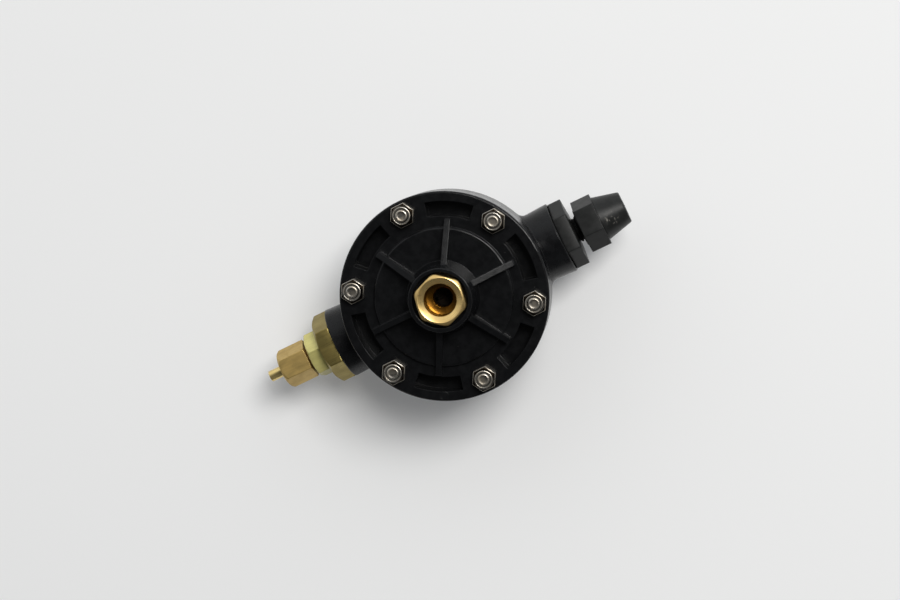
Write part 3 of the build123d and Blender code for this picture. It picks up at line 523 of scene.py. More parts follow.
def port_coordinates(tree, here):
    """Object coordinates shifted and turned so that the ports' axis is local Z."""
    parts = split(tree, vectors(tree, "SUBTRACT", here, (0, 0, PORT_Z * MM))[0])
    return joined(tree, parts[2], parts[1], parts[0])


# ---------------------------------------------------------------- finishes
def moulded_black(name, tone, rough=(0.2, 0.25), dust=0.3, shine=0.21, marks=False, scuff=False):
    """Glass-filled black plastic: fine grain, faint cloudy bloom, fibre specks, rubbed edges that are partly
    a painted highlight, and a little dust, darker and duller where shade is painted; with an ejector pin's
    mark or a few pale scuffs if asked."""
    dust_tone, scuff_tone = (0.23, 0.225, 0.21), (0.2, 0.19, 0.17)

    def build(tree, here):
        grains = use(tree, "Moulded Grain", here, Scale=5200.0)
        wear_and_highlight = use(tree, "Edge Wear", here, Width=0.35 * MM, Scale=1500.0, Amount=0.8)
        long = vectors(tree, "MULTIPLY", here, (1.0, 0.45, 1.0))[0]
        fibres = use(tree, "Specks", long, Scale=1500.0, Size=0.12, Sparse=0.56)
        motes = use(tree, "Specks", here, Scale=260.0, Size=0.045, Sparse=0.55)
        grime = painted_shade_mask(tree)
        base = blend(tree, grains["Tone"], shade(tone, 0.78), shade(tone, 1.22))
        base = tint(tree, base, grains["Broad"], 0.15, shade(tone, 1.5))
        base = tint(tree, base, fibres["Mask"], 0.35, shade(tone, 3.2))
        # rubbed edges, partly a painted edge highlight
        base = tint(tree, base, wear_and_highlight["Mask"], 0.35, shade(tone, 2.6, 0.004))
        base = tint(tree, base, motes["Mask"], dust, dust_tone)
        # painted shade: near black where the attribute is set, on the plug's spigot in its gap
        base = blend(tree, grime, base, shade(tone, 0.12))
        roughness = ranged(tree, grains["Broad"], 0.0, 1.0, *rough)
        roughness = raised(tree, roughness, wear_and_highlight["Mask"], -0.03)
        roughness = raised(tree, roughness, grime, 0.25)
        normal = bump(tree, grains["Height"], 0.006 * MM, 1.0, wear_and_highlight["Normal"])
        if scuff:
            scratched = scuff_mask(tree, here)
            base = blend(tree, scratched, base, scuff_tone)
            roughness = raised(tree, roughness, scratched, 0.2)
        if marks:
            normal = ejector_mark(tree, here, normal)
        return {"Base Color": base, "Roughness": roughness, "Normal": normal}

    return material(name, build, Specular_IOR_Level=shine)


def worked_brass(name, tone, rough, cloud, dark, metallic, patches=260.0, drawn=True, bore=None):
    """Brass: drawing marks along a port, or turning marks round the pump's axis, with cloudy oxide, dark
    spots, edges rubbed bright and partly a painted highlight, a painted brown shade, and a painted amber
    shade in a bore if its tone is given."""
    marks = "Drawn Streaks" if drawn else "Turning Marks"
    # painted shade: amber brown for the connector's thread in its gap
    painted_shade_tone = (0.36, 0.17, 0.035)
    dull = shade(shade(tone, dark), (1.0, 0.94, 0.8))

    def build(tree, here):
        own = port_coordinates(tree, here) if drawn else here
        lines = use(tree, marks, own, Scale=5200.0)
        oxide = use(tree, "Tarnish", here, Scale=patches)
        wear_and_highlight = use(tree, "Edge Wear", here, Width=0.18 * MM, Scale=1200.0, Amount=0.9)
        base = blend(tree, lines["Tone"], shade(tone, 0.90), shade(tone, 1.06))
        base = tint(tree, base, oxide["Cloud"], cloud, dull)
        base = tint(tree, base, oxide["Spots"], 0.35, shade(dull, 0.5))
        # edges rubbed bright, partly a painted highlight
        base = tint(tree, base, wear_and_highlight["Mask"], 0.6, shade(tone, 1.25, 0.05))
        roughness = ranged(tree, oxide["Cloud"], 0.0, 1.0, *rough)
        roughness = raised(tree, roughness, lines["Tone"], 0.05)
        # painted shade: the inlet's bore takes a darker amber tone
        if bore:
            inside = bore_depth(tree, here)
            base = blend(tree, inside, base, bore)
            roughness = raised(tree, roughness, inside, -0.04)
        # painted shade in amber brown where the attribute is set
        base = tint(tree, base, painted_shade_mask(tree), 0.85, painted_shade_tone)
        normal = bump(tree, lines["Height"], 0.004 * MM, 0.7, wear_and_highlight["Normal"])
        return {"Base Color": base, "Roughness": roughness, "Normal": normal}

    return material(name, build, metallic=metallic)


def plated_steel(name, tone, rough, warm):
    """Zinc-plated or ground steel: fine grain, a warm passivated tint in patches, dark spots, rubbed edges
    that are partly a painted highlight, and near black where shade is painted."""

    def build(tree, here):
        oxide = use(tree, "Tarnish", here, Scale=420.0)
        grains = use(tree, "Moulded Grain", here, Scale=4200.0)
        wear_and_highlight = use(tree, "Edge Wear", here, Width=0.12 * MM, Scale=1500.0, Amount=0.8)
        base = blend(tree, grains["Tone"], shade(tone, 0.93), shade(tone, 1.05))
        base = tint(tree, base, oxide["Cloud"], warm, shade(tone, (0.9, 0.76, 0.55)))
        base = tint(tree, base, oxide["Spots"], 0.25, shade(tone, 0.45))
        # rubbed edges, partly a painted highlight
        base = tint(tree, base, wear_and_highlight["Mask"], 0.5, shade(tone, 1.2))
        # painted shade: near black where the attribute is set, on the nuts and bolts
        base = blend(tree, painted_shade_mask(tree), base, shade(tone, (0.035, 0.026, 0.018)))
        roughness = ranged(tree, oxide["Cloud"], 0.0, 1.0, *rough)
        normal = bump(tree, grains["Height"], 0.0016 * MM, 0.6, wear_and_highlight["Normal"])
        return {"Base Color": base, "Roughness": roughness, "Normal": normal}

    return material(name, build, metallic=1.0)


def soft_moulding(name, dark, light, bloom, share, rough, fineness, depth):
    """A soft or milky moulding: two tones by its grain, a bloom or stain in patches, and fine bumps."""

    def build(tree, here):
        grains = use(tree, "Moulded Grain", here, Scale=fineness)
        base = blend(tree, grains["Tone"], dark, light)
        base = tint(tree, base, grains["Broad"], share, bloom)
        roughness = ranged(tree, grains["Broad"], 0.0, 1.0, *rough)
        return {"Base Color": base, "Roughness": roughness, "Normal": bump(tree, grains["Height"], depth)}

    return material(name, build)


def soft_rubber(name):
    """Black rubber: matt, with a grey bloom in patches."""
    dark, light, bloom = (0.014, 0.014, 0.014), (0.026, 0.026, 0.027), (0.06, 0.06, 0.058)
    return soft_moulding(name, dark, light, bloom, 0.3, (0.62, 0.82), 6400.0, 0.01 * MM)


def pale_nylon(name, brightness=1.0):
    """Natural nylon: milky, with a faint stain in patches, and a soft sheen. Its tones are scaled by its
    brightness.
    """
    tones = (0.40, 0.38, 0.33), (0.52, 0.50, 0.45), (0.33, 0.28, 0.2)
    dark, light, stain = (shade(tone, brightness) for tone in tones)
    return soft_moulding(name, dark, light, stain, 0.35, (0.38, 0.52), 4800.0, 0.008 * MM)


FINISH = {}


def make_finishes():
    """Every finish by its short name: the mouldings, the brasses, the steels, then the soft ones."""
    c = bpy.context.scene.pump_colours
    tone = {name: tuple(getattr(c, name)) for name in PumpColours.__annotations__}
    body, fitting = shade(tone["moulding"], 1.25), tone["fitting"]
    satin = (0.35, 0.42)
    FINISH["moulding"] = moulded_black("Black Moulding", tone["moulding"], marks=True)
    FINISH["body"] = moulded_black("Black Body Moulding", body, (0.24, 0.3))
    FINISH["fitting"] = moulded_black("Black Fitting Moulding", fitting, satin, 0.18, 0.15)
    FINISH["scuffed"] = moulded_black("Scuffed Fitting Moulding", fitting, satin, 0.18, 0.2, scuff=True)
    FINISH["inlet"] = worked_brass(
        "Turned Inlet Brass", tone["inlet_brass"], rough=(0.24, 0.34), cloud=0.3, dark=0.7, metallic=0.92,
        drawn=False, bore=tone["inlet_bore"],
    )
    FINISH["adaptor"] = worked_brass(
        "Dull Brass", tone["dull_brass"], rough=(0.27, 0.36), cloud=0.5, dark=0.6, metallic=0.85,
        patches=160.0,
    )
    FINISH["connector"] = worked_brass(
        "Pale Brass", tone["pale_brass"], rough=(0.28, 0.38), cloud=0.25, dark=0.7, metallic=0.25
    )
    FINISH["gland"] = worked_brass(
        "Pinkish Brass", tone["nut_brass"], rough=(0.32, 0.44), cloud=0.4, dark=0.66, metallic=0.7
    )
    FINISH["tube"] = worked_brass(
        "Tube Brass", tone["tube_brass"], rough=(0.1, 0.18), cloud=0.15, dark=0.75, metallic=0.85
    )
    FINISH["zinc"] = plated_steel("Bright Zinc", tone["zinc"], (0.27, 0.36), warm=0.4)
    # painted shade: near-black steel for the pressure plate and its screw at the bottom of the inlet's hole
    FINISH["stained"] = plated_steel("Water-Stained Steel", (0.018, 0.015, 0.012), (0.5, 0.6), warm=0.3)
    FINISH["stainless"] = plated_steel("Ground Stainless", (0.58, 0.58, 0.57), (0.2, 0.3), warm=0.05)
    FINISH["rubber"] = soft_rubber("Black Rubber")
    FINISH["nylon"] = pale_nylon("Natural Nylon")
    # the nuts' lock rings: nylon at about a sixth of its brightness
    FINISH["grimy"] = pale_nylon("Grimy Nylon", 0.16)


# ---------------------------------------------------------------- the pieces
def inlet_bush():
    """Brass inlet: outside up the grooved shank and the turned hexagon, over the eased rim, down the threaded
    bore to the ledge and the feed hole. The hexagon is cut off by the turned radius."""
    s = bpy.context.scene.pump_sizes
    turned_r, face_r, shank_r, groove_r, ledge_r, hole_r = 9.4, 8.0, 8.2, 7.6, 6.5, 3.4
    lip_width, lip_drop, lip_bow = 2.2, 1.25, 1.2
    top, floor, ledge = INLET_TOP, INLET_TOP - 5.0, INLET_TOP - 12.0
    phi, hexagon = rounded_hexagon(s.inlet_flats / MM / 2, corner=0.5, turn=-9.4, steps=(10, 9))
    hexagon = np.minimum(hexagon, turned_r)
    step, groove = (floor - INLET_LOW) / 3, 1.5
    shank = []
    for k in range(3):
        low = INLET_LOW + k * step
        high = low + step
        shank += [(shank_r, low), (shank_r, high - groove), (groove_r, high - groove), (groove_r, high)]
    face = chamfered_end(hexagon, face_r, top, 1)
    outside = stack(phi, (hole_r, INLET_LOW), *shank, (hexagon, floor), *face)
    lip = [(face_r - lip_width * t, top - lip_drop * t**lip_bow) for t in np.linspace(0, 1, 9)[1:]]
    rim = np.concatenate([outside, stack(phi, *lip)])
    rim = eased(rim, 0.35, first=len(outside) - 2, last=len(outside) + 1)
    thread = thread_rows(phi, top - 10.6, top - 1.6, s.inlet_pitch / MM, 6.4, 5.75, 12)[::-1]
    bore = [(ledge_r, ledge + 1.0), (ledge_r, ledge + 0.1), (ledge_r - 0.15, ledge)]
    bore += [(hole_r + 0.3, ledge), (hole_r, ledge - 0.3)]
    rows = np.concatenate([rim, thread, stack(phi, *bore)])
    return piece("inlet_bush", [skin(rows, phi, "axis")], "water_inlet_bush", FINISH["inlet"])


def flange_nuts():
    """Locking nuts: chamfered hexagon, crown whose side is a quarter ellipse, rolled lip, groove and bore.
    The crown's foot and the hexagon's outer face take painted shade, but not its corners."""
    s = bpy.context.scene.pump_sizes
    low = FACE_Z
    shoulder, top = low + 3.6, low + 5.0
    crown_r, chamfer_r, washer_r, bore_r, seat_r, lip = 3.62, 3.7, 3.9, 2.5, 3.12, s.crown_lip / MM
    phi, hexagon = rounded_hexagon(s.nut_flats / MM / 2, corner=0.25, turn=0.0, steps=(6, 5))
    lid, face = chamfered_end(hexagon, chamfer_r, shoulder, 1)
    ring = []
    for count, t in ((1, 0.3), (2, 0.55)):
        r = np.minimum(hexagon + (chamfer_r - hexagon) * t, hexagon - 0.16 * count)
        ring.append((r, lid[1] + (shoulder - lid[1]) * t))
    foot = chamfered_end(hexagon, washer_r, low, -1)[1]
    hexes = [(bore_r, low), (washer_r, low), foot, lid, *ring, face, (crown_r, shoulder)]
    side = shoulder + 0.25
    swing = np.linspace(0, math.pi / 2, 7)
    crown = [(lip + (crown_r - lip) * math.cos(a), side + (top - side) * math.sin(a)) for a in swing]
    lipped = [(2.86, top - 0.02), (2.78, top - 0.12), (2.76, top - 0.3), (seat_r, top - 0.36)]
    lipped += [(seat_r, shoulder), (bore_r, shoulder)]
    rows = np.concatenate([eased(stack(phi, *hexes), 0.1, first=3), stack(phi, *crown, *lipped)])

    # painted shade round the groove between the hexagon's face and the crown
    def where(r, u):
        inside = np.clip((hexagon - 0.12 - r) / 0.1, 0, 1)
        return inside * (r > lip + 0.2) * (u > shoulder - 1.3) * (u < top - 0.08)

    shells = around_flange(skin(rows, phi, "axis"))
    return piece("flange_nut_set", shells, "flange_nuts", FINISH["zinc"], 34.0, painted_shade_values(rows, where))


def flange_bolts():
    """Bolts: dished and chamfered hexagon head, plain shank, rolled thread, and a chamfered tip with a low
    rim round a flat. The thread past the flange, inside the nut, takes painted shade, and the flat a little."""
    s = bpy.context.scene.pump_sizes
    low, end = BOLT_HEAD, BOLT_END
    shank_r, dish_r, face_r, root_r, crest_r, rim_r = 2.45, 2.4, 3.85, 2.1, 2.45, 1.5
    head_depth, dish_depth, pitch = 3.5, 0.35, 0.8
    phi, hexagon = rounded_hexagon(s.nut_flats / MM / 2, corner=0.25, turn=0.0, steps=(6, 5))
    head = [(0.8, low + dish_depth), (dish_r, low + dish_depth), (dish_r + 0.3, low)]
    head += [*chamfered_end(hexagon, face_r, low, -1), (hexagon, low + head_depth)]
    head += [(shank_r, low + head_depth), (shank_r, FACE_Z - 1)]
    thread = thread_rows(phi, FACE_Z - 0.9, end - 0.65, pitch, root_r, crest_r, 8)
    tip = [(2.36, end - 0.5), (1.95, end - 0.06), (1.8, end), (rim_r + 0.05, end)]
    tip += [(rim_r - 0.05, end - 0.04), (0.8, end - 0.05), (0.1, end - 0.05)]
    rows = np.concatenate([eased(stack(phi, *head), 0.12, first=3), thread, stack(phi, *tip)])

    # painted shade on the thread inside the nut, and a little on the tip's flat
    def where(r, u):
        return (u > FACE_Z) * (u < end - 0.45) + 0.4 * (u > end - 0.07) * (r < rim_r)

    shells = around_flange(skin(rows, phi, "axis", ring=False))
    grime = painted_shade_values(rows, where, ring=False)
    return piece("flange_bolt_set", shells, "flange_bolts", FINISH["zinc"], 34.0, grime)


def suction_plug():
    """Black plug: shank, hexagon eased on both sides, threaded spigot with painted shade in its gap, and a
    two-step barb.
    """
    s = bpy.context.scene.pump_sizes
    low, boss, end, tip = PLUG_LOW, BOSS_END, CAP_LOW - 2.3, PLUG_TIP
    shank_r, pocket_r, hole_r, root_r, crest_r, spigot_r = 8.95, 4.47, 1.4, 4.3, 4.9, 5.2
    phi, hexagon = rounded_hexagon(s.plug_flats / MM / 2, corner=0.45, turn=-4.0, steps=(10, 5))
    back = [(hole_r, low + 2), (pocket_r, low + 2), (pocket_r, low), (shank_r - 0.45, low)]
    back += [(shank_r, low + 0.4), (shank_r, boss), (hexagon - 0.35, boss)]
    front = [(hexagon, boss + 0.3), (hexagon, end), (spigot_r, end), (root_r + 0.15, end + 0.3)]
    body = eased(stack(phi, *back, *front), 0.28, first=7, last=9)
    thread = thread_rows(phi, end + 0.35, end + 8.6, 1.5, root_r, crest_r, 10)
    nose = [(root_r, end + 8.9), (root_r - 0.4, end + 9.1), (2.3, end + 9.1), (2.4, tip - 2.6)]
    barb = [(2.15, tip - 1.3), (2.3, tip - 1.25), (2.0, tip - 0.1), (1.9, tip), (hole_r, tip)]
    rows = np.concatenate([body, thread, stack(phi, *nose, *barb)])
    # painted shade on the spigot in the gap under the cap
    grime = painted_shade_values(rows, lambda r, u: (u > end + 0.1) & (r < crest_r + 0.1))
    shell = skin(rows, phi, "suction")
    return piece("suction_plug_moulding", [shell], "suction_plug", FINISH["fitting"], grime=grime)


def hose_cap():
    """Hose cap nut: washer face, eased hexagon, step, and a cone with two low parting lines and a scrap of
    flash at its tip; the lines are narrow bell curves of the angle added to the radius."""
    s = bpy.context.scene.pump_sizes
    low, high = CAP_LOW, CAP_HIGH
    washer, shelf, start = low + 0.4, low + 8.0, high - 9.4
    step_r, cone_r, tip_r, bore_r, thread_r = 8.3, 8.2, 5.95, 3.15, 4.95
    phi, hexagon = rounded_hexagon(s.cap_flats / MM / 2, corner=0.35, turn=-11.0, steps=(12, 5))

    def bell(middle, width):
        off = (phi - math.radians(middle) + math.pi) % TURN - math.pi
        return np.exp(-((off / math.radians(width)) ** 2))

    line = 0.05 * (bell(86, 2.2) + bell(266, 2.2))
    flash = 0.28 * bell(162, 3.5)
    out = [(thread_r, low), (6.9, low), (7.0, low + 0.1), (7.0, washer), (hexagon, washer), (hexagon, shelf)]
    cone = [(step_r, shelf), (step_r + 0.05 + line, shelf + 0.1), (step_r + 0.05 + line, start - 0.15)]
    slope = high - 0.35 - start
    for t in (0.0, 0.35, 0.7, 0.95):
        cone.append((cone_r + (tip_r - cone_r) * t + line, start + 0.2 + slope * t))
    tip = [(5.85 + line, high - 0.16), (5.8 + flash, high - 0.08), (5.7 + flash, high), (5.4, high)]
    bore = [(bore_r + 0.15, high), (bore_r, high - 0.15), (bore_r, high - 7.6), (thread_r, high - 7.6)]
    rows = np.concatenate([eased(stack(phi, *out), 0.2, first=4), stack(phi, *cone, *tip, *bore)])
    return piece("hose_cap", [skin(rows, phi, "suction")], "hose_cap_nut", FINISH["scuffed"])


def brass_adaptor():
    """Brass adaptor: shank with the spring's pocket, big hexagon with a turned outer end, and the socket."""
    s = bpy.context.scene.pump_sizes
    low, boss, end = ADAPTOR_LOW, BOSS_END, ADAPTOR_END
    shank_r, pocket_r, hole_r, socket_r = 8.95, 3.6, 1.4, 4.85
    apothem = s.adaptor_flats / MM / 2
    phi, hexagon = rounded_hexagon(apothem, corner=0.4, turn=4.5, steps=(10, 7))
    back = [(hole_r, low + 6.1), (pocket_r, low + 6.1), (pocket_r, low), (shank_r - 0.45, low)]
    back += [(shank_r, low + 0.4), (shank_r, boss), (hexagon - 0.25, boss)]
    front = [(hexagon, boss + 0.2), *chamfered_end(hexagon, apothem - 0.25, end, 1)]
    front += [(socket_r + 0.25, end), (socket_r, end - 0.25)]
    rows = eased(stack(phi, *back, *front), 0.3, first=7, last=10)
    rows = np.concatenate([rows, stack(phi, (socket_r, end - 7.5), (hole_r, end - 7.5))])
    return piece("brass_adaptor", [skin(rows, phi, "delivery")], "delivery_adaptor", FINISH["adaptor"])


def brass_connector():
    """Brass connector: shank, hexagon with turned corners, undercut, threaded nipple with painted shade in
    its gap, tube's seat.
    """
    s = bpy.context.scene.pump_sizes
    low, boss, neck, end = CONNECTOR_LOW, ADAPTOR_END, GLAND_LOW - 1.0, NIPPLE_END
    shank_r, hole_r, root_r, crest_r, seat_r = 4.8, 1.3, 4.4, 5.0, 1.9
    apothem = s.connector_flats / MM / 2
    phi, hexagon = rounded_hexagon(apothem, corner=0.3, turn=-16.0, steps=(8, 5))
    back = [(hole_r, low), (shank_r - 0.3, low), (shank_r, low + 0.3), (shank_r, boss), (hexagon, boss)]
    front = [*chamfered_end(hexagon, apothem - 0.15, neck, 1), (root_r + 0.1, neck)]
    front += [(root_r, neck + 0.1), (root_r, neck + 0.6)]
    body = eased(stack(phi, *back, *front), 0.22, first=5, last=7)
    thread = thread_rows(phi, neck + 0.65, end - 0.4, 1.0, root_r, crest_r, 10)
    nose = [(4.5, end), (3.2, end), (seat_r, end - 1.1), (seat_r, end - 5.0), (hole_r, end - 5.0)]
    rows = np.concatenate([body, thread, stack(phi, *nose)])
    # painted shade on the nipple in the gap under the compression nut
    grime = painted_shade_values(rows, lambda r, u: (u > neck + 0.05) & (r < crest_r + 0.05))
    shell = skin(rows, phi, "delivery")
    return piece("brass_connector", [shell], "delivery_connector", FINISH["connector"], grime=grime)


def gland_nut():
    """Compression nut: hexagon whose outer end is domed, the radius at each height being the smaller of the
    hexagon's and a quarter ellipse's; the inner end is lightly chamfered."""
    s = bpy.context.scene.pump_sizes
    low, high = GLAND_LOW, GLAND_HIGH
    thread_r, hole_r, dome_r, dome_rise, dome_depth = 5.05, 2.15, 4.9, 2.75, 2.3
    phi, hexagon = rounded_hexagon(s.gland_flats / MM / 2, corner=0.3, turn=3.0, steps=(10, 7))
    inner = [(thread_r, low + 0.4), (thread_r + 0.4, low), *chamfered_end(hexagon, 6.9, low, -1)]
    dome = []
    for a in np.linspace(math.pi / 2, 0, 12):
        r = np.minimum(hexagon, dome_r + dome_rise * math.sin(a))
        dome.append((r, high - dome_depth * (1 - math.cos(a))))
    hole = [(hole_r + 0.35, high), (hole_r, high - 0.3), (hole_r, high - 1.4), (thread_r, high - 1.4)]
    rows = np.concatenate([eased(stack(phi, *inner), 0.15, first=1), stack(phi, *dome, *hole)])
    return piece("gland_nut", [skin(rows, phi, "delivery")], "compression_nut", FINISH["gland"], 50.0)


def delivery_tube():
    """Brass tube drawn down inside the nut, its cut end eased with a slight burr inside."""
    s = bpy.context.scene.pump_sizes
    r, low, end, neck = s.tube_radius / MM, TUBE_LOW, TUBE_END, GLAND_HIGH - 0.2
    bore_r, drawn_r = 1.3, 1.85
    phi = np.linspace(0, TURN, 64, endpoint=False)
    burr = 0.03 * np.sin(3 * phi) + 0.02 * np.sin(7 * phi)
    outside = [(bore_r, low), (drawn_r, low), (drawn_r, neck - 0.25), (r, neck), (r, end - 0.22)]
    cut = [(r - 0.08, end - 0.06), (r - 0.22, end), (1.45, end - 0.02), (1.36 + burr, end - 0.1)]
    rows = stack(phi, *outside, *cut, (bore_r, end - 0.35))
    return piece("delivery_tube", [skin(rows, phi, "delivery")], "outlet_tube", FINISH["tube"])


CARRIED = {
    "moulding": ["front_cover"],
    "body": ["pump_body", "piston_plate"],
    "inlet": ["stroke_adjuster"],
    "tube": ["tube_olive"],
    # painted shade: the plate and screw deep under the inlet's hole are near black
    "stained": ["pressure_plate", "plate_screw"],
    "stainless": [
        "plunger_rod", "return_spring", "suction_ball", "suction_valve_spring", "delivery_ball",
        "delivery_valve_spring",
    ],
    "rubber": [
        "diaphragm", "plunger_seal", "adjuster_o_ring", "suction_o_ring", "suction_valve_seat",
        "delivery_o_ring", "delivery_valve_seat",
    ],
    "nylon": ["seal_retainer", "hose_grip_sleeve"],
    "grimy": ["nut_lock_rings"],
}


def dress_carried():
    """Gives every CAD node that stays visible its own procedural finish."""
    for finish, nodes in CARRIED.items():
        for node in nodes:
            obj = NODES[node]
            if not obj.material_slots:
                obj.data.materials.append(FINISH[finish])
            for slot in obj.material_slots:
                slot.material = FINISH[finish]


# ---------------------------------------------------------------- stage
VIEW_ROLL = 25.6


def view_axes():
    """The camera's right, up and backward directions: it looks down the pump's axis, leaning a little."""
    back = Vector((0.13, 0.041, 1)).normalized()
    roll = math.radians(VIEW_ROLL)
    level = (Vector((1, 0, 0)) - back * back.x).normalized()
    upright = back.cross(level)
    right = level * math.cos(roll) - upright * math.sin(roll)
    return right, level * math.sin(roll) + upright * math.cos(roll), back


def stage_camera():
    """A camera over the flange's face that takes in a given width there, its middle moved by a few pixels."""
    right, up, back = view_axes()
    distance, width_mm, sensor_mm = 0.69, 321.4, 36
    width_px, right_px, up_px = 900, 6.2, -3.3
    data = bpy.data.cameras.new("view")
    cam = bpy.data.objects.new("view", data)
    bpy.context.scene.collection.objects.link(cam)
    turn = Matrix((right, up, back)).transposed().to_4x4()
    cam.matrix_world = Matrix.Translation(Vector((0, 0, FACE_Z * MM)) + back * distance) @ turn
    data.sensor_width = sensor_mm
    data.lens = sensor_mm * distance / MM / width_mm
    data.shift_x = right_px / width_px
    data.shift_y = up_px / width_px
    bpy.context.scene.camera = cam
    bpy.context.scene.view_settings.view_transform = "Standard"


def stage_floor():
    """A plain pale sheet that keeps the object's shadow; part of what the camera and mirrors see of it is its
    own pale colour."""
    tone = tuple(bpy.context.scene.pump_colours.floor)
    reach, drop, glow_share = 4.0, 0.02 * MM, 0.12
    corners = [(x * reach, y * reach, -drop) for x, y in ((-1, -1), (1, -1), (1, 1), (-1, 1))]
    mesh = bpy.data.meshes.new("floor")
    mesh.from_pydata(corners, [], [[0, 1, 2, 3]])
    floor = bpy.data.objects.new("floor", mesh)
    bpy.context.scene.collection.objects.link(floor)
    mat = bpy.data.materials.new("Pale Floor")
    mat.use_nodes = True
    tree = mat.node_tree
    tree.nodes.clear()
    out = tree.nodes.new("ShaderNodeOutputMaterial")
    here = add(tree, "ShaderNodeTexCoord").outputs["Object"]
    mottle = blend(tree, noise(tree, here, 3.0, 2.0, 0.5), shade(tone, 0.99), shade(tone, 1.01))
    diffuse = add(tree, "ShaderNodeBsdfDiffuse", {"Color": mottle, "Roughness": 0.0}).outputs[0]
    glow = add(tree, "ShaderNodeEmission", {"Color": mottle, "Strength": 1.0}).outputs[0]
    path = add(tree, "ShaderNodeLightPath").outputs
    seen = maths(tree, "ADD", path["Is Camera Ray"], path["Is Glossy Ray"], clamp=True)
    share = maths(tree, "MULTIPLY", seen, glow_share)
    mix = add(tree, "ShaderNodeMixShader", {0: share, 1: diffuse, 2: glow}).outputs[0]
    tree.links.new(mix, out.inputs[0])
    mesh.materials.append(mat)


def stage_world():
    """Soft surroundings, bright on the upper side and dark on the lower one and overhead. The camera sees a
    plain pale colour in their place."""
    right, up, _ = view_axes()
    darkest, brightest, overhead, backdrop = 0.13, 1.0, 0.28, 0.8
    bright_side = tuple((up - right * 0.12).normalized())
    world = bpy.data.worlds.new("soft room")
    bpy.context.scene.world = world
    world.use_nodes = True
    tree = world.node_tree
    tree.nodes.clear()
    out = tree.nodes.new("ShaderNodeOutputWorld")
    way = add(tree, "ShaderNodeTexCoord").outputs["Generated"]
    side = vectors(tree, "DOT_PRODUCT", way, bright_side)["Value"]
    level = ranged(tree, side, -0.4, 0.75, darkest, brightest)
    steepness = split(tree, way)[2]
    level = maths(tree, "MULTIPLY", level, ranged(tree, steepness, 0.62, 0.96, 1.0, overhead))
    seen = add(tree, "ShaderNodeLightPath").outputs["Is Camera Ray"]
    level = maths(tree, "MULTIPLY", level, maths(tree, "SUBTRACT", 1.0, seen))
    level = raised(tree, level, seen, backdrop)
    inputs = {"Color": (0.965, 0.985, 1.0, 1), "Strength": level}
    surround = add(tree, "ShaderNodeBackground", inputs).outputs[0]
    tree.links.new(surround, out.inputs[0])


def stage_lamp():
    """One broad soft lamp above the upper right that throws a short shadow down and to the left."""
    right, up, _ = view_axes()
    width, depth, watts, twist = 1.4, 0.95, 60.0, -15.0
    place = right * 0.85 + up * 1.1 + Vector((0, 0, 2.4))
    data = bpy.data.lights.new("soft lamp", "AREA")
    data.shape = "RECTANGLE"
    data.size, data.size_y = width, depth
    data.energy = watts
    data.color = (1.0, 0.985, 0.96)
    lamp = bpy.data.objects.new("soft lamp", data)
    bpy.context.scene.collection.objects.link(lamp)
    turn = Matrix.Rotation(math.radians(VIEW_ROLL + twist), 4, "Z")
    lamp.matrix_world = Matrix.Translation(place) @ turn


# ---------------------------------------------------------------- operators, panel and registration
class PUMP_OT_finishes(bpy.types.Operator):
    """Make the shared effects and every finish"""

    bl_idname = "pump.finishes"
    bl_label = "Finishes"

    def execute(self, context):
        build_groups()
        make_finishes()
        return {"FINISHED"}


class PUMP_OT_carried_pieces(bpy.types.Operator):
    """Give the mouldings, springs, seals and balls their finish"""

    bl_idname = "pump.carried_pieces"
    bl_label = "Carried Pieces"

    def execute(self, context):
        dress_carried()
        return {"FINISHED"}


class PUMP_OT_inlet_bush(bpy.types.Operator):
    """Build the threaded brass water inlet"""

    bl_idname = "pump.inlet_bush"
    bl_label = "Inlet Bush"

    def execute(self, context):
        inlet_bush()
        return {"FINISHED"}


class PUMP_OT_flange_nuts(bpy.types.Operator):
    """Build the locking nuts round the flange"""

    bl_idname = "pump.flange_nuts"
    bl_label = "Flange Nuts"

    def execute(self, context):
        flange_nuts()
        return {"FINISHED"}


class PUMP_OT_flange_bolts(bpy.types.Operator):
    """Build the bolts through the flange"""

    bl_idname = "pump.flange_bolts"
    bl_label = "Flange Bolts"

    def execute(self, context):
        flange_bolts()
        return {"FINISHED"}


class PUMP_OT_suction_plug(bpy.types.Operator):
    """Build the black plug of the suction port"""

    bl_idname = "pump.suction_plug"
    bl_label = "Suction Plug"

    def execute(self, context):
        suction_plug()
        return {"FINISHED"}


class PUMP_OT_hose_cap(bpy.types.Operator):
    """Build the cap nut that holds the hose"""

    bl_idname = "pump.hose_cap"
    bl_label = "Hose Cap"

    def execute(self, context):
        hose_cap()
        return {"FINISHED"}


class PUMP_OT_brass_adaptor(bpy.types.Operator):
    """Build the big brass hexagon of the delivery port"""

    bl_idname = "pump.brass_adaptor"
    bl_label = "Brass Adaptor"

    def execute(self, context):
        brass_adaptor()
        return {"FINISHED"}


class PUMP_OT_brass_connector(bpy.types.Operator):
    """Build the small brass hexagon and its nipple"""

    bl_idname = "pump.brass_connector"
    bl_label = "Brass Connector"

    def execute(self, context):
        brass_connector()
        return {"FINISHED"}


class PUMP_OT_gland_nut(bpy.types.Operator):
    """Build the domed compression nut"""

    bl_idname = "pump.gland_nut"
    bl_label = "Compression Nut"

    def execute(self, context):
        gland_nut()
        return {"FINISHED"}


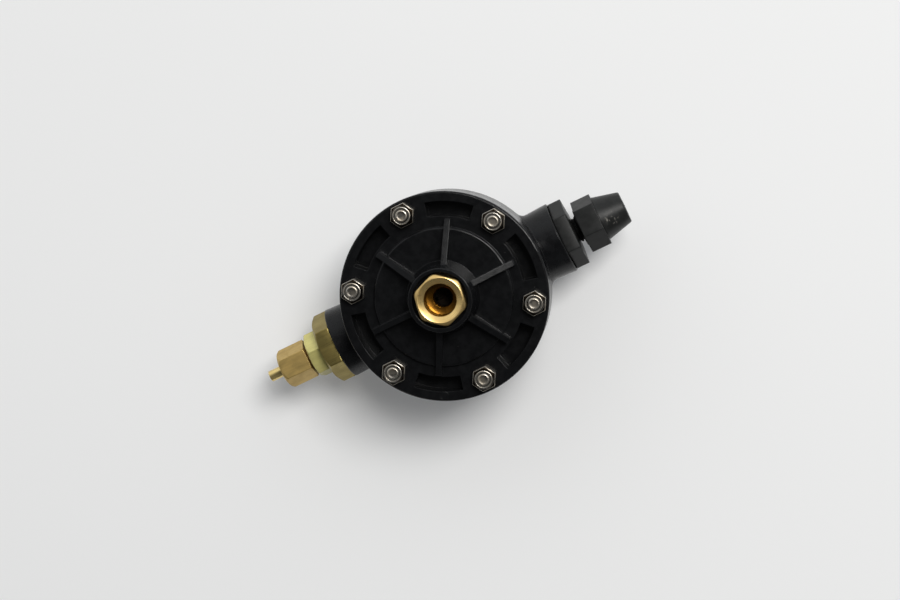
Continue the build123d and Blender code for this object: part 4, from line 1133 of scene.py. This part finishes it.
class PUMP_OT_delivery_tube(bpy.types.Operator):
    """Build the short brass tube"""

    bl_idname = "pump.delivery_tube"
    bl_label = "Delivery Tube"

    def execute(self, context):
        delivery_tube()
        return {"FINISHED"}


class PUMP_OT_stage(bpy.types.Operator):
    """Add the floor, the surroundings, the lamp and the camera"""

    bl_idname = "pump.stage"
    bl_label = "Stage"

    def execute(self, context):
        stage_floor()
        stage_world()
        stage_lamp()
        stage_camera()
        return {"FINISHED"}


STEPS = [
    PUMP_OT_finishes,
    PUMP_OT_carried_pieces,
    PUMP_OT_inlet_bush,
    PUMP_OT_flange_nuts,
    PUMP_OT_flange_bolts,
    PUMP_OT_suction_plug,
    PUMP_OT_hose_cap,
    PUMP_OT_brass_adaptor,
    PUMP_OT_brass_connector,
    PUMP_OT_gland_nut,
    PUMP_OT_delivery_tube,
    PUMP_OT_stage,
]


class PUMP_PT_panel(bpy.types.Panel):
    """Lists the pump's sizes, colours and building steps."""

    bl_label = "Metering Pump"
    bl_idname = "PUMP_PT_panel"
    bl_space_type = "VIEW_3D"
    bl_region_type = "UI"
    bl_category = "Metering Pump"

    def draw(self, context):
        for title, settings, source in (
            ("Sizes", context.scene.pump_sizes, PumpSizes),
            ("Colours", context.scene.pump_colours, PumpColours),
        ):
            box = self.layout.box()
            box.label(text=title)
            for name in source.__annotations__:
                box.prop(settings, name)
        column = self.layout.column()
        for kind in STEPS:
            column.operator(kind.bl_idname)


CLASSES = [PumpSizes, PumpColours, *STEPS, PUMP_PT_panel]


def register():
    for kind in CLASSES:
        bpy.utils.register_class(kind)
    bpy.types.Scene.pump_sizes = PointerProperty(type=PumpSizes)
    bpy.types.Scene.pump_colours = PointerProperty(type=PumpColours)


def unregister():
    del bpy.types.Scene.pump_colours
    del bpy.types.Scene.pump_sizes
    for kind in reversed(CLASSES):
        bpy.utils.unregister_class(kind)


def main():
    register()
    for kind in STEPS:
        getattr(bpy.ops.pump, kind.bl_idname.split(".")[1])()


if __name__ == "__main__":
    main()
